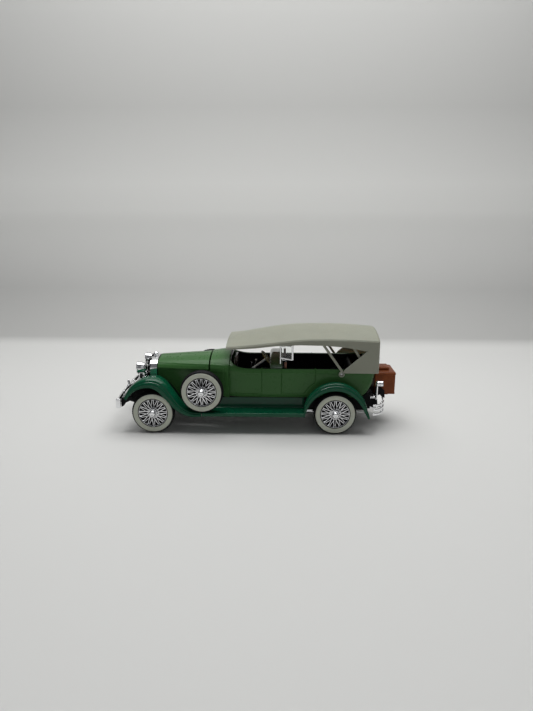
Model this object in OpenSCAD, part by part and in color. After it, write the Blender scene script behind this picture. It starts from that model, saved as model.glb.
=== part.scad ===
// Small-scale open touring car with a raised top, wire wheels and a rear trunk.
// +X is forwards, +Y is the car's left, +Z is up. The origin is on the ground, in the middle.

/* [Running gear] */
// Distance between the two axles
wheelbase = 108; // [107:0.5:109]
// Outer radius of the tyres, which is the height of the axles
tyre_r = 12.7; // [12.5:0.1:12.8]
// Width of each tyre
tyre_w = 5.4; // [5.2:0.1:5.6]
// Distance between the middles of the left and right tyres
track = 48; // [47.8:0.1:48.4]
// Radius of the steel axle rods
axle_r = 1; // [0.9:0.05:1.1]
// Radial gap between a turning pin and its hole
running_gap = 0.05; // [0.03:0.01:0.08]
// Wire spokes in each of the two layers of a wheel
spokes = 18; // [14:1:20]

/* [Body] */
// Half of the body's width between the axles
body_half_w = 19.6; // [19.2:0.1:19.8]
// Height of the belt line, where the open cockpit starts
belt_z = 38.3; // [38:0.1:38.6]
// Thickness of the cast walls
wall = 1.2; // [1:0.1:1.4]
// Height of the crown of the raised top
top_z = 61; // [60.4:0.2:61.6]
// Half of the width of the raised top
top_half_w = 21; // [20.8:0.1:21.4]
// Thickness of the fenders
fender_t = 0.9; // [0.8:0.1:1.1]
// Distance from the car's middle line to the fenders' outer edge
fender_half_w = 27.5; // [27.3:0.1:27.8]

/* [Trunk] */
// Half of the trunk's width
trunk_half_w = 9; // [8.5:0.5:10]
// Height of the seam between the trunk and its lid
trunk_seam_z = 32; // [31:0.5:33]

/* [Hidden] */
front_x = wheelbase / 2 + 8;
rear_x = front_x - wheelbase;
wheel_y = track / 2;
rim_r = 8.4;
wall_ring_z = 2.35;
spare_x = 32.6;
spare_z = 26.15;
spare_y = 25.3;
body_low_z = 20.6;
cockpit_x = 15.4;
cowl_front_x = 28.4;
hood_rear_x = 29.5;
hood_front_x = 61;
hood_low_z = 36.4;
hinge_x = 30.8;
hinge_z = 40.9;
hinge_pin_r = 0.4;
knuckle_r = 0.8;
plate_z = 13.8;
plate_top_z = 15.2;
board_z = 13.4;
board_low_z = 11.1;
board_in_y = 16.5;
lamp_x = 70.6;
lamp_y = 11.1;
lamp_z = 36.8;
shield_x = -13.5;
trunk_x = -71.4;
trunk_end_x = -83.4;
trunk_low_z = 19.8;
liner_y = 16.9;
liner_z = 21.85;
tail_y = 20;
tail_z = 29.9;
screw_xs = [-26, 24];
$fn = 48;

// Widths and heights along the body, as [place along X, value]
HALF_WIDTHS = [[-70.6, 16.6], [-69.5, 18.2], [-66, 19.1], [-58, 19.4], [-45, body_half_w],
    [5, body_half_w], [cockpit_x, 18.8], [22, 17.1], [28.4, 15.3], [61.4, 11.4]];
SHOULDERS = [[-70.6, 36.4], [-52, 36.6], [61.4, 36.4]];
CROWNS = [[-16, 44.2], [cockpit_x, 44.1], [28.4, 42.7], [hood_front_x, 40.6]];
LOWS = [[-70.6, 35.6], [-70, 31.9], [-67.8, 25.8], [-64.1, 21.3], [-62, body_low_z]];

// Corners of each outline in a side view, as [x, z]
FRONT_FENDER = [[33, 13.3], [39, 14], [44.1, 17.1], [49.9, 25.1], [54.4, 30.7], [59, 33.4],
    [62.8, 33.9], [66.7, 33.3], [70.9, 31.6], [75.7, 27.6], [79.2, 22.1]];
REAR_FENDER_TAIL = [[-67.8, 8.6], [-66, 11.2]];
CURTAIN_SIDE = [[-51.5, 37.4], [-54.4, 38.3], [-60.2, 46.6], [-63.7, 49.8], [-55.5, 51.5], [-49.6, 52.4],
    [-49.6, 54.6], [-71, 54.6], [-72, 52], [-71.8, 39], [-70.8, 36.4]];

function half_width(x) = lookup(x, HALF_WIDTHS);
function shoulder(x) = lookup(x, SHOULDERS);
function crown(x) = lookup(x, CROWNS);
function power(v, e) = sign(v) * pow(abs(v), e);

// A point of the arched cross-section at an angle from the left shoulder
function arch_point(w, low, high, a, e = 0.93) =
    [w * power(cos(a), e), low + (high - low) * power(sin(a), e)];

// Angle at which the arch reaches the given distance from the middle line
function arch_angle(w, y, e = 0.93) = acos(pow(min(1, y / w), 1 / e));

// Edge of the front cockpit opening: a squared oval in plan
function cockpit_edge(x) = (body_half_w - wall) * pow(max(0.0001, 1 - pow(max(0, x + 2) / 17.4, 4)), 0.25);

// Smooth curve through points, with k steps between each pair
function blend4(a, b, c, d, t) =
    0.5 * (2 * b + (c - a) * t + (2 * a - 5 * b + 4 * c - d) * t * t + (3 * b - a - 3 * c + d) * t * t * t);
function spline(p, k) = [for (i = [0 : len(p) - 2]) for (j = [0 : k - 1])
    blend4(p[max(i - 1, 0)], p[i], p[i + 1], p[min(i + 2, len(p) - 1)], j / k), p[len(p) - 1]];

// Solid through closed rings that all have the same number of points. On a thin shell, each
// point of the outer half faces one of the inner half, and the ends are closed in strips.
module loft(rings, shell = true) {
    n = len(rings[0]);
    m = len(rings);
    sides = [for (i = [0 : m - 2]) for (j = [0 : n - 1]) let (k = (j + 1) % n)
        each [[i * n + j, i * n + n + j, i * n + n + k], [i * n + j, i * n + n + k, i * n + k]]];
    start = shell ? [for (j = [0 : n / 2 - 2]) [j, j + 1, n - 2 - j,
        n - 1 - j]] : [[for (j = [0 : n - 1]) j]];
    last = (m - 1) * n;
    end = [for (face = start) [for (j = [len(face) - 1 : -1 : 0]) last + face[j]]];
    polyhedron([for (r = rings) each r], concat(start, sides, end), convexity = 8);
}

// Ring of an arched shell at x, from the left edge over the crown to the right edge and back
function shell_ring(x, w, low, side, high, t, steps = 12) = concat(
    [[x, w, low]],
    [for (i = [0 : steps]) let (p = arch_point(w, side, high, 180 * i / steps)) [x, p[0], p[1]]],
    [[x, -w, low], [x, t - w, low]],
    [for (i = [steps : -1 : 0]) let (p = arch_point(w - t, side, high - t, 180 * i / steps)) [x, p[0],
        p[1]]],
    [[x, w - t, low]]);

// Ring of the open tub at x: up the left wall, over its rolled edge, across the floor and back
function tub_ring(x) =
    let (w = half_width(x), low = lookup(x, LOWS), s = max(shoulder(x), low + 0.3), c = crown(x),
        a = max(6, arch_angle(w, x > -2 ? cockpit_edge(x) : w * 0.975)),
        floor_z = x < -66 ? s - 0.4 : max(low, body_low_z) + wall,
        in_w = w - wall,
        left = concat([[w - 1.1, low], [w - 0.2, min(s - 0.1, low + 3.5)]],
            [for (i = [0 : 4]) arch_point(w, s, c, a * i / 4)],
            [for (i = [4 : -1 : 0]) arch_point(in_w, s, c - wall, a * i / 4)],
            [[in_w - 0.9, floor_z]]))
    concat([for (p = left) [x, p[0], p[1]]],
        [for (i = [len(left) - 1 : -1 : 0]) [x, -left[i][0], left[i][1]]]);

// Things that come in a left and a right copy
module both_sides() {
    children();
    mirror([0, 1, 0]) children();
}

// Turns a shape drawn around Z so that its +Z points out of the car's side
module on_side(side) {
    rotate([-90 * side, 0, 0]) children();
}

// Turns a flat outline drawn as [y, z] so that it stands across the car, and makes it t thick
module across(x, t) {
    translate([x, 0, 0]) rotate([90, 0, 90]) linear_extrude(t) children();
}

// Turns a flat outline drawn as [x, z] so that it stands along the car, t thick from y to y + t
module along(y, t) {
    translate([0, y + t, 0]) rotate([90, 0, 0]) linear_extrude(t) children();
}

// Straight round bar between two points
module rod(p, q, r) {
    d = q - p;
    translate(p)
        rotate([0, acos(d[2] / norm(d)), atan2(d[1], d[0])])
            cylinder(h = norm(d), r = r);
}

module base_plate() {
    color([0.04, 0.04, 0.04]) difference() {
        union() {
            translate([-66, -12.5, plate_z]) cube([134, 25, plate_top_z - plate_z]);
            for (y = [-11.8, 10.2])
                translate([-66, y, 10.2]) cube([134, 1.6, 4]);
            for (x = [front_x, rear_x])
                translate([x - 3, -13, 10.2]) cube([6, 26, 5]);
            for (x = [-58, -34, -10, 12])
                translate([x - 1.5, -11, 11.4]) cube([3, 22, 3]);
            translate([34, 0, 12.2]) rotate([0, 90, 0]) cylinder(h = 18, r = 2.95);
            translate([rear_x - 5, 0, 12.7]) rotate([0, 90, 0]) cylinder(h = 10, r = 3.3);
            translate([rear_x, 0, 12.4]) rotate([0, 90, 0]) cylinder(h = 80, r = 0.9);
            for (x = screw_xs)
                translate([x, 0, 11.6]) cylinder(h = 3, r = 3.2);
        }
        for (x = [front_x, rear_x])
            translate([x, 0, tyre_r]) on_side(1) cylinder(h = 40, r = axle_r + running_gap, center = true);
        for (x = screw_xs) {
            translate([x, 0, 8]) cylinder(h = 10, r = 1.1);
            translate([x, 0, 8]) cylinder(h = 4.6, r = 2.3);
        }
    }
}

// Screws that hold the plate to the posts under the body
module base_screws() {
    color([0.45, 0.45, 0.45]) for (x = screw_xs) difference() {
        union() {
            translate([x, 0, 12.6]) cylinder(h = body_low_z - 12.6, r = 1);
            translate([x, 0, 11.5]) cylinder(h = 1.1, r = 2);
            translate([x, 0, plate_top_z]) cylinder(h = body_low_z - plate_top_z, r = 2.6);
        }
        translate([x - 0.25, -3, 11]) cube([0.5, 6, 1]);
        translate([x - 3, -0.25, 11]) cube([6, 0.5, 1]);
    }
}

module frame_horns() {
    color([0.04, 0.04, 0.04]) both_sides() {
        along(10.4, 1.8) polygon([[68.1, 15.2], [68.1, 10.4], [74, 13.4], [82.4, 16.2], [82.4, 18.6],
            [74, 17.6]]);
        along(10.4, 1.8) polygon([[-66.1, 15.2], [-66.1, 11], [-70, 12.4], [-73.4, 13.4], [-72.6, 19],
            [-69, 17.6]]);
    }
}

module exhaust_pipe() {
    color([0.75, 0.75, 0.76]) {
        rod([-34, 14.4, 10.2], [-66, 14.4, 10.2], 0.6);
        rod([-24, 14.4, 10.8], [-34.4, 14.4, 10.8], 1.6);
        translate([-30, 12.55, 10.4]) cube([2, 1.2, 4.4]);
    }
}

module axle_rod(x) {
    translate([x, 0, tyre_r]) on_side(1) cylinder(h = track - 0.2, r = axle_r, center = true);
}

module front_axle() { color([0.55, 0.55, 0.56]) axle_rod(front_x); }
module rear_axle() { color([0.55, 0.55, 0.56]) axle_rod(rear_x); }

// A tyre around Z, its outer side facing +Z
module tyre_shape() {
    rotate_extrude($fn = 96) polygon([[rim_r, -2.3], [9, -tyre_w / 2], [11.3, -tyre_w / 2], [12.2, -2.3],
        [tyre_r, -1.5], [tyre_r, 1.5], [12.2, wall_ring_z], [rim_r, wall_ring_z]]);
}

module whitewall_shape() {
    rotate_extrude($fn = 96) polygon([[rim_r + 0.3, wall_ring_z], [12, wall_ring_z],
        [11.5, tyre_w / 2], [9, tyre_w / 2]]);
}

// A wire wheel around Z: rim, two crossed layers of spokes, hub and hub cap
module wire_wheel_shape(bored) {
    difference() {
        union() {
            rotate_extrude($fn = 96) polygon([[7.7, -2.3], [rim_r, -2.3], [rim_r, 2.6], [7.7, 2.3]]);
            translate([0, 0, -2.3]) cylinder(h = 4.7, r = 2.5);
            translate([0, 0, 2.4]) cylinder(h = 1, r = 2.1);
            translate([0, 0, 3.4]) cylinder(h = 0.9, r = 1.7);
            for (layer = [-1, 1], i = [0 : spokes - 1])
                rotate([0, 0, (i + layer / 4) * 360 / spokes])
                    translate([1.8, layer * 1.3 - 0.25, 0.6 + layer * 0.6])
                        cube([6.2, 0.5, 0.5]);
        }
        if (bored)
            translate([0, 0, -3]) cylinder(h = 2.9, r = axle_r);
    }
}

module at_wheel(x, side) {
    translate([x, side * wheel_y, tyre_r]) on_side(side) children();
}

module at_spare(side) {
    translate([spare_x, side * spare_y, spare_z]) on_side(side) children();
}

module tyre(x, side) {
    color([0.03, 0.03, 0.03]) at_wheel(x, side) tyre_shape();
}

module wheel(x, side) {
    color([0.85, 0.85, 0.86]) at_wheel(x, side) wire_wheel_shape(true);
}

module whitewalls(x) {
    color([0.88, 0.88, 0.8]) for (side = [-1, 1]) at_wheel(x, side) whitewall_shape();
}

module spare_tyres() {
    color([0.03, 0.03, 0.03]) for (side = [-1, 1]) at_spare(side) tyre_shape();
}

module spare_wheels() {
    color([0.85, 0.85, 0.86]) for (side = [-1, 1]) at_spare(side) wire_wheel_shape(false);
}

module spare_whitewalls() {
    color([0.88, 0.88, 0.8]) for (side = [-1, 1]) at_spare(side) whitewall_shape();
}

// Arms that reach from the body's side to the back of each spare wheel
module spare_carriers() {
    color([0.04, 0.04, 0.04]) both_sides() {
        translate([spare_x, 15, spare_z]) on_side(1) cylinder(h = spare_y - 2.3 - 15, r = 1.6);
    }
}

module body_tub() {
    xs = [-70.6, -70.2, -69.5, -68.2, -66.2, -66, -64.1, -62, -58, -52, -45, -30, -15, -2, 2, 5, 8, 10, 12,
        13.5, 14.5, 15, 15.3];
    color([0.16, 0.4, 0.14]) loft([for (x = xs) tub_ring(x)], shell = false);
}

module cowl() {
    color([0.16, 0.4, 0.14]) {
        loft([for (x = [cockpit_x, 19, 22, 25, cowl_front_x])
            shell_ring(x, half_width(x), body_low_z, shoulder(x), crown(x), wall)]);
        translate([cowl_front_x - 1, -14.6, body_low_z + 0.1]) cube([1, 29.2, 18]);
    }
}

// Fixed panels under the hood's edges
module hood_sides() {
    color([0.14, 0.36, 0.13]) both_sides()
        translate([0, 0, plate_top_z]) linear_extrude(hood_low_z - 0.4 - plate_top_z)
            polygon([[cowl_front_x + 0.05, half_width(cowl_front_x)],
                [cowl_front_x + 0.05, half_width(cowl_front_x) - wall],
                [hood_front_x, half_width(hood_front_x) - wall], [hood_front_x, half_width(hood_front_x)]]);
}

module hood() {
    color([0.16, 0.4, 0.14]) loft([for (x = [hood_rear_x, 34, 40, 47, 54, hood_front_x])
        shell_ring(x, half_width(x), hood_low_z, hood_low_z + 0.4, crown(x), 0.9)]);
}

// Hinge leaf under the rear edge of the hood, with its knuckle around the pin
module hood_hinge_leaf() {
    color([0.5, 0.5, 0.5]) difference() {
        union() {
            translate([hinge_x, -4, hinge_z]) on_side(1) cylinder(h = 8, r = knuckle_r);
            translate([hinge_x, -4, hinge_z + 0.1]) cube([6, 8, 0.6]);
        }
        translate([hinge_x, 0, hinge_z]) on_side(1) cylinder(h = 20, r = hinge_pin_r + running_gap,
            center = true);
    }
}

// Pin across the front of the cowl, in two ears
module hood_hinge_pin() {
    color([0.5, 0.5, 0.5]) {
        translate([hinge_x, 0, hinge_z]) on_side(1) cylinder(h = 10.8, r = hinge_pin_r, center = true);
        both_sides() {
            translate([cowl_front_x, 4.4, hinge_z - 2.3]) cube([2.9, 1.1, 1.1]);
            translate([hinge_x - 0.5, 4.4, hinge_z - 2.3]) cube([1, 1.1, 2.5]);
        }
    }
}

module engine_block() {
    color([0.35, 0.36, 0.36]) {
        translate([36, -4.2, plate_top_z]) cube([19, 8.4, 13]);
        translate([36.6, -3.4, plate_top_z + 13]) cube([17.8, 6.8, 3]);
        for (i = [0 : 3])
            translate([38.6 + 4.6 * i, -2, plate_top_z + 16]) cylinder(h = 1.6, r = 0.8);
        translate([41, 4.2, 26]) rotate([0, 90, 0]) cylinder(h = 12, r = 1);
        translate([55, 0, 25]) rotate([0, 90, 0]) cylinder(h = 1.6, r = 4.4);
    }
}

// Outline of the radiator, as [y, z]: straight sides under an arched top
module radiator_outline(inset) {
    w = 11.4 - inset;
    polygon(concat([[-w, 16 + inset], [w, 16 + inset]],
        [for (i = [0 : 16]) arch_point(w, 36, 41.4 - inset, 180 * i / 16)]));
}

module radiator_shell() {
    color([0.85, 0.85, 0.86]) {
        across(61.7, 5) difference() {
            radiator_outline(0);
            radiator_outline(1.5);
        }
        across(66.7, 0.5) difference() {
            radiator_outline(0.5);
            radiator_outline(1.9);
        }
    }
}

module radiator_core() {
    color([0.06, 0.06, 0.06]) across(62.2, 3.6) radiator_outline(1.6);
}

module radiator_cap() {
    color([0.85, 0.85, 0.86]) {
        translate([64.3, 0, 41.45]) cylinder(h = 0.85, r = 1.7);
        translate([64.3, 0, 42.1]) cylinder(h = 0.8, r = 1.3);
        translate([64.3, 0, 42.9]) sphere(r = 0.7);
    }
}

module headlamps() {
    color([0.85, 0.85, 0.86]) both_sides()
        translate([lamp_x - 3, lamp_y, lamp_z]) rotate([0, 90, 0]) rotate_extrude()
            polygon([[0, 0], [0.9, 0.15], [1.9, 0.9], [2.7, 2.1], [3.1, 3.6], [3.1, 5], [3.4, 5.2],
                [3.4, 5.8],
                [2.8, 5.8], [2.4, 4.8], [0, 3]]);
}

module headlamp_lenses() {
    color([0.9, 0.92, 0.92, 0.5]) both_sides()
        translate([lamp_x - 3, lamp_y, lamp_z]) rotate([0, 90, 0]) rotate_extrude()
            polygon([[0, 5.6], [2.7, 5.6], [2.7, 5.85], [1.4, 6.25], [0, 6.4]]);
}

// Cross bar between the lamps, its two posts and the lower stays
module lamp_bar() {
    color([0.85, 0.85, 0.86]) {
        rod([69.4, -lamp_y, 32.2], [69.4, lamp_y, 32.2], 0.5);
        both_sides() {
            translate([69.4, lamp_y, 30.6]) cylinder(h = lamp_z - 33.5, r = 0.7);
            translate([69.4, lamp_y, 30.2]) cylinder(h = 0.7, r = 1.4);
            rod([67.25, 9.6, 32.2], [69.4, lamp_y, 32.2], 0.4);
            translate([69.4, 6.2, 32.2]) sphere(r = 0.95);
        }
    }
}

module horn() {
    color([0.04, 0.04, 0.04]) translate([68.4, 7.6, 29.8]) rotate([0, 90, 0]) rotate_extrude()
        polygon([[0, 0], [1.1, 0.2], [1.1, 1.6], [0.5, 2], [0.6, 3.2], [1.4, 4.6], [1.2, 4.6], [0, 3.4]]);
}

// Plan of a front bumper bar: a shallow bow, forwards of the frame
function bow(y) = 83.6 - 2.6 * pow(abs(y) / 27, 3);
module bow_bar(z, h, t) {
    ys = [for (i = [-12 : 12]) i * 27 / 12];
    translate([0, 0, z]) linear_extrude(h)
        polygon(concat([for (y = ys) [bow(y), y]], [for (i = [24 : -1 : 0]) [bow(ys[i]) - t, ys[i]]]));
}

module front_bumper() {
    color([0.85, 0.85, 0.86]) {
        bow_bar(19.5, 2.1, 0.9);
        bow_bar(15.9, 2.1, 0.9);
        for (y = [-26.9, 26.1])
            translate([bow(26.4) - 1, y, 15.9]) cube([0.9, 0.8, 5.7]);
        translate([bow(0) - 1.1, -1, 15.6]) cube([1.3, 2, 8]);
        translate([bow(0) - 0.7, 0, 23.6]) cylinder(h = 1.4, r1 = 0.9, r2 = 0.5);
        both_sides() translate([82.4, 10.9, 16.6]) cube([0.5, 0.8, 4]);
    }
}

// Ring of a fender where its crown is at p with outward normal n in the side view
function fender_ring(p, n, drop, in_y, out_y, t) =
    let (top = [[out_y, -drop], [out_y - 0.1, -0.55 * drop], [out_y - 0.9, -0.2 * drop],
        [out_y - 2.4, -0.03 * drop],
            [out_y - 5, 0.1], [(out_y + in_y) / 2 - 1, -0.1], [in_y, -0.7]],
        inner = [for (i = [6 : -1 : 0]) top[i] + [i < 3 ? -0.8 : 0, i < 2 ? 0.02 : -t]])
    [for (s = concat(top, inner)) [p[0] + n[0] * s[1], s[0], p[1] + n[1] * s[1]]];

function normal(p, i) =
    let (a = p[max(i - 1, 0)], b = p[min(i + 1, len(p) - 1)], d = (b - a) / norm(b - a)) [-d[1], d[0]];

module front_fender() {
    path = spline(FRONT_FENDER, 3);
    last = len(path) - 1;
    color([0.03, 0.3, 0.16]) loft([for (i = [0 : last]) let (s = i / last)
        fender_ring(path[i], normal(path, i), 2.1 + 3.4 * pow(sin(180 * s), 1.3),
            lookup(path[i][0], [[33, board_in_y], [48, 15.6], [61, 12.2],
                [79, 15.5]]), fender_half_w, fender_t)]);
}

module rear_fender() {
    arc = [for (a = [172 : -10 : 2]) [rear_x + 19 * cos(a), tyre_r - 0.1 + 19.4 * sin(a)]];
    path = concat(REAR_FENDER_TAIL, arc, [[rear_x + 18.2, 11.4]]);
    last = len(path) - 1;
    color([0.03, 0.3, 0.16]) loft([for (i = [0 : last]) let (s = i / last)
        fender_ring(path[i], normal(path, i), 1.2 + 2.9 * pow(sin(180 * s), 0.8),
            body_half_w + 0.15, fender_half_w, fender_t)]);
}

module running_board() {
    color([0.03, 0.3, 0.16]) {
        translate([-26.4, board_in_y, board_low_z]) cube([59.2, fender_half_w - board_in_y,
            board_z - board_low_z]);
        translate([-26.4, board_in_y, board_z]) cube([59.2, 1, body_low_z - 0.1 - board_z]);
        for (x = [1.5, -23])
            translate([x, 19.6, board_z]) cube([8.1, 6.2, 0.4]);
        translate([-20, 12, board_low_z + 0.2]) cube([3, 5, 1.6]);
        translate([8, 12, board_low_z + 0.2]) cube([3, 5, 1.6]);
    }
}

// Black liner of the cabin: floor, side linings and the bulkhead between the two cabins
module interior_tub() {
    color([0.03, 0.03, 0.03]) {
        translate([-57, -liner_y, liner_z]) cube([70, 2 * liner_y, 1]);
        translate([12, -13.8, liner_z]) cube([14, 27.6, 1]);
        translate([-59.7, -15.8, liner_z]) cube([4, 31.6, 1]);
        both_sides() translate([-57, liner_y - 0.9, liner_z]) cube([67, 0.9, 14]);
        translate([-15.2, -16.1, liner_z]) cube([1, 32.2, 15]);
        translate([-59.7, -15.8, liner_z]) cube([1, 31.6, 14.8]);
    }
}

// Seat with a cushion and a leaning back, its front edge at x
module seat(x, width, back_z) {
    color([0.03, 0.03, 0.03])
        along(-width / 2, width) polygon([[x, 22.9], [x, 29], [x - 0.8, 29.8], [x - 8, 29.2],
            [x - 10.4, back_z - 0.8],
            [x - 11.4, back_z], [x - 12.6, back_z - 0.4], [x - 12.2, 22.9]]);
}

module front_seat() { seat(-1.4, 31.8, 37.2); }
module rear_seat() { seat(-46, 31.8, 37.4); }

module dashboard() {
    color([0.1, 0.05, 0.03]) across(13.2, 1.4) polygon(concat([[-15.8, 34], [15.8, 34]],
        [for (i = [0 : 10]) arch_point(15.8, 36.6, 42.4, 15 + 150 * i / 10)]));
}

WHEEL_HUB = [-5.4, 8, 42];
COLUMN_FOOT = [18.8, 8, 23.45];

// Steering column with the gear and brake levers beside it
module steering_column() {
    color([0.85, 0.85, 0.86]) {
        rod(COLUMN_FOOT, WHEEL_HUB, 0.55);
        rod([4.4, 1.5, 22.9], [1.6, 1.5, 38.6], 0.35);
        translate([1.6, 1.5, 38.8]) sphere(r = 0.7);
        rod([6, -1.5, 22.9], [4.6, -1.5, 36.4], 0.35);
    }
}

module steering_wheel() {
    d = WHEEL_HUB - COLUMN_FOOT;
    color([0.3, 0.26, 0.1]) translate(WHEEL_HUB) rotate([0, atan2(d[0], d[2]), 0]) {
        rotate_extrude() translate([5.2, 0]) circle(r = 0.45);
        for (a = [0, 90, 180, 270])
            rotate([0, 0, a]) translate([0.6, -0.3, -0.25]) cube([4.6, 0.6, 0.5]);
        translate([0, 0, 0.02]) cylinder(h = 0.7, r = 0.9);
    }
}

// A windshield frame standing across the car, drawn as [y, z] from its foot
module shield_outline(w, h, inset) {
    polygon([[-w + inset, inset], [w - inset, inset], [w - inset - 0.4, h - inset],
        [-w + inset + 0.4, h - inset]]);
}

module lean(x, z, angle) {
    translate([x, 0, z]) rotate([0, angle, 0]) translate([-0.4, 0, 0]) rotate([90, 0, 90]) children();
}

module front_windshield_frame() {
    color([0.85, 0.85, 0.86]) lean(15.6, 44.2, -10) linear_extrude(0.8) difference() {
        shield_outline(15.5, 7.6, 0);
        shield_outline(15.5, 7.6, 0.8);
    }
}

module front_windshield_glass() {
    color([0.9, 0.95, 0.95, 0.3]) lean(15.6, 44.2, -10) translate([0, 0, 0.25]) linear_extrude(0.3)
        shield_outline(15.5, 7.6, 0.8);
}

// Raised deck in front of the rear cabin
module second_cowl() {
    color([0.16, 0.4, 0.14]) loft([for (x = [-14.6, -12, -9, -8])
        shell_ring(x, 17.3, 36, belt_z - 0.4, x < -8.5 ? 43.7 : 43, 1)]);
}

module rear_windshield_frame() {
    color([0.85, 0.85, 0.86]) {
        lean(shield_x, 43.9, -1) linear_extrude(0.8) difference() {
            shield_outline(16.2, 8.8, 0);
            shield_outline(16.2, 8.8, 0.8);
        }
        both_sides() {
            translate([shield_x - 0.4, 16.2, 40.4]) cube([0.8, 0.9, 12.2]);
            along(17, 0.5) polygon([[shield_x + 0.4, 44.8], [shield_x + 0.4, 44], [-21.2, 42.6],
                [-21.2, 52.4],
                [-20.2, 52.4], [-20.2, 43.6]]);
        }
    }
}

module rear_windshield_glass() {
    color([0.9, 0.95, 0.95, 0.3]) {
        lean(shield_x, 43.9, -1) translate([0, 0, 0.25]) linear_extrude(0.3) shield_outline(16.2, 8.8, 0.8);
        both_sides() along(17.1, 0.3) polygon([[shield_x, 44.8], [shield_x, 52.4], [-20.2, 52.4],
            [-20.2, 43.6]]);
    }
}

// Moulded top: gutter and crown heights along the car
GUTTERS = [[-71, 55.2], [-54.7, 56], [-39.1, 56.2], [-24.1, 55.7], [-10.8, 54.2], [1, 52.7],
    [12, 51.6], [18.4, 51]];
VALANCES = [[-71, 54.7], [-49.6, 54.7], [-49.5, 52.5], [-39.2, 53.2], [-24.5, 53.5], [-10.8, 53], [1, 51.6],
    [12, 50.8], [18.4, 50.6]];
TOP_DROPS = [[-71.6, 2.1], [-67.7, 1.5], [-56, 0.5], [-43, 0], [-31.6, 0], [-19.3, 0.6], [-10.1, 1.7],
    [-0.8, 3.4],
    [5.3, 4.7], [11.5, 6.3], [16.2, 7.8], [18.4, 8.8]];

module roof() {
    xs = [-71.1, -70, -66, -60, -52, -44, -34, -24, -14, -6, 2, 8, 13, 16.5, 18.4];
    color([0.62, 0.62, 0.56]) loft([for (x = xs)
        shell_ring(x, top_half_w - pow(max(0, x) / 18.4, 3) * 1.4, lookup(x, VALANCES), lookup(x, GUTTERS),
            top_z - lookup(x, TOP_DROPS), 1.1, 16)]);
}

// Lower back of the top: side pieces that sweep up to the valance, and the back
module rear_curtain() {
    color([0.62, 0.62, 0.56]) {
        both_sides() along(19.9, 1.1) polygon(CURTAIN_SIDE);
        across(-72.2, 1.1) polygon(concat([[-top_half_w, 38.6], [top_half_w, 38.6]],
            [for (i = [0 : 16]) arch_point(top_half_w, 55.2, top_z - 2.1, 180 * i / 16)]));
        translate([-71.6, -20.8, 36.4]) cube([1, 41.6, 2.4]);
    }
}

// Struts of the top and their round eyes on the body's sides
module top_irons() {
    color([0.62, 0.62, 0.56]) both_sides() {
        difference() {
            translate([-49.6, body_half_w, 35.6]) on_side(1) cylinder(h = 1.3, r = 2);
            translate([-49.6, body_half_w - 1, 35.6]) on_side(1) cylinder(h = 4, r = 0.8);
        }
        along(19.9, 0.8) polygon([[-50.6, 37.1], [-49, 37.4], [-37.8, 52.85], [-39.6, 52.85]]);
        along(18.9, 0.8) polygon([[-60.7, 45.4], [-59.4, 45.4], [-55, 52.2], [-56.5, 52.2]]);
    }
}

module trunk_body() {
    color([0.42, 0.2, 0.09])
        translate([trunk_end_x, -trunk_half_w, trunk_low_z])
            cube([trunk_x - trunk_end_x, 2 * trunk_half_w, trunk_seam_z - trunk_low_z]);
}

module trunk_lid() {
    lid_z = trunk_seam_z + 1.8;
    color([0.48, 0.24, 0.12]) {
        along(-trunk_half_w - 0.3, 2 * trunk_half_w + 0.6)
            polygon([[trunk_x, trunk_seam_z], [trunk_end_x - 0.4, trunk_seam_z],
                [trunk_end_x - 0.4, lid_z - 0.8], [-82.6, lid_z], [trunk_x, lid_z]]);
        along(-trunk_half_w / 2, trunk_half_w)
            polygon([[-73.2, lid_z], [-81, lid_z], [-80.4, lid_z + 0.8], [-79.6, lid_z + 1.1],
                [-73.2, lid_z + 1.1]]);
    }
}
module luggage_rack() {
    color([0.04, 0.04, 0.04]) {
        translate([-72.8, -10.3, trunk_low_z - 1.2]) cube([7.4, 20.6, 1.2]);
        translate([-80, -8, trunk_low_z - 0.6]) cube([7.4, 16, 0.6]);
        both_sides() {
            translate([-66.6, 8.2, plate_top_z]) cube([1.2, 2, 3.6]);
            along(9.4, 0.9) polygon([[-71.6, 18.7], [-71.6, 24.9], [-75.1, 24.6], [-77.4, 22.4],
                [-77.8, 17.9], [-76.4, 17.9], [-74.8, 19.8]]);
        }
    }
}

module tail_lamps() {
    color([0.85, 0.85, 0.86]) both_sides() {
        translate([-70, tail_y, tail_z]) rotate([0, -90, 0]) cylinder(h = 4.4, r = 1.7);
        translate([-71, tail_y, 20.6]) cylinder(h = 8.2, r = 0.45);
        translate([-71.3, 12.2, 19.4]) cube([1.3, 8.3, 1.2]);
    }
}

// Plan of a rear bumper bar: a quarter bow around the corner
module corner_bar(z) {
    n = 8;
    outer = [for (i = [0 : n]) let (a = 90 * i / n) [-67.6 - 8.4 * sin(a), 16.6 + 10.2 * cos(a)]];
    inner = [for (i = [n : -1 : 0]) let (a = 90 * i / n) [-67.6 - 7.7 * sin(a), 16.6 + 9.5 * cos(a)]];
    translate([0, 0, z]) linear_extrude(1.3) polygon(concat(outer, inner));
}

module rear_bumper() {
    color([0.85, 0.85, 0.86]) both_sides() {
        for (z = [12.2, 15, 17.8])
            corner_bar(z);
        translate([-75.8, 16.6, 12.2]) cube([0.6, 1, 6.9]);
        translate([-74.6, 21.6, 12.2]) cube([0.8, 0.8, 6.9]);
        translate([-75.6, 12.3, 15.1]) cube([0.6, 4.4, 1.1]);
        translate([-75.6, 11.3, 14.6]) cube([2.2, 1, 2.1]);
    }
}

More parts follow.
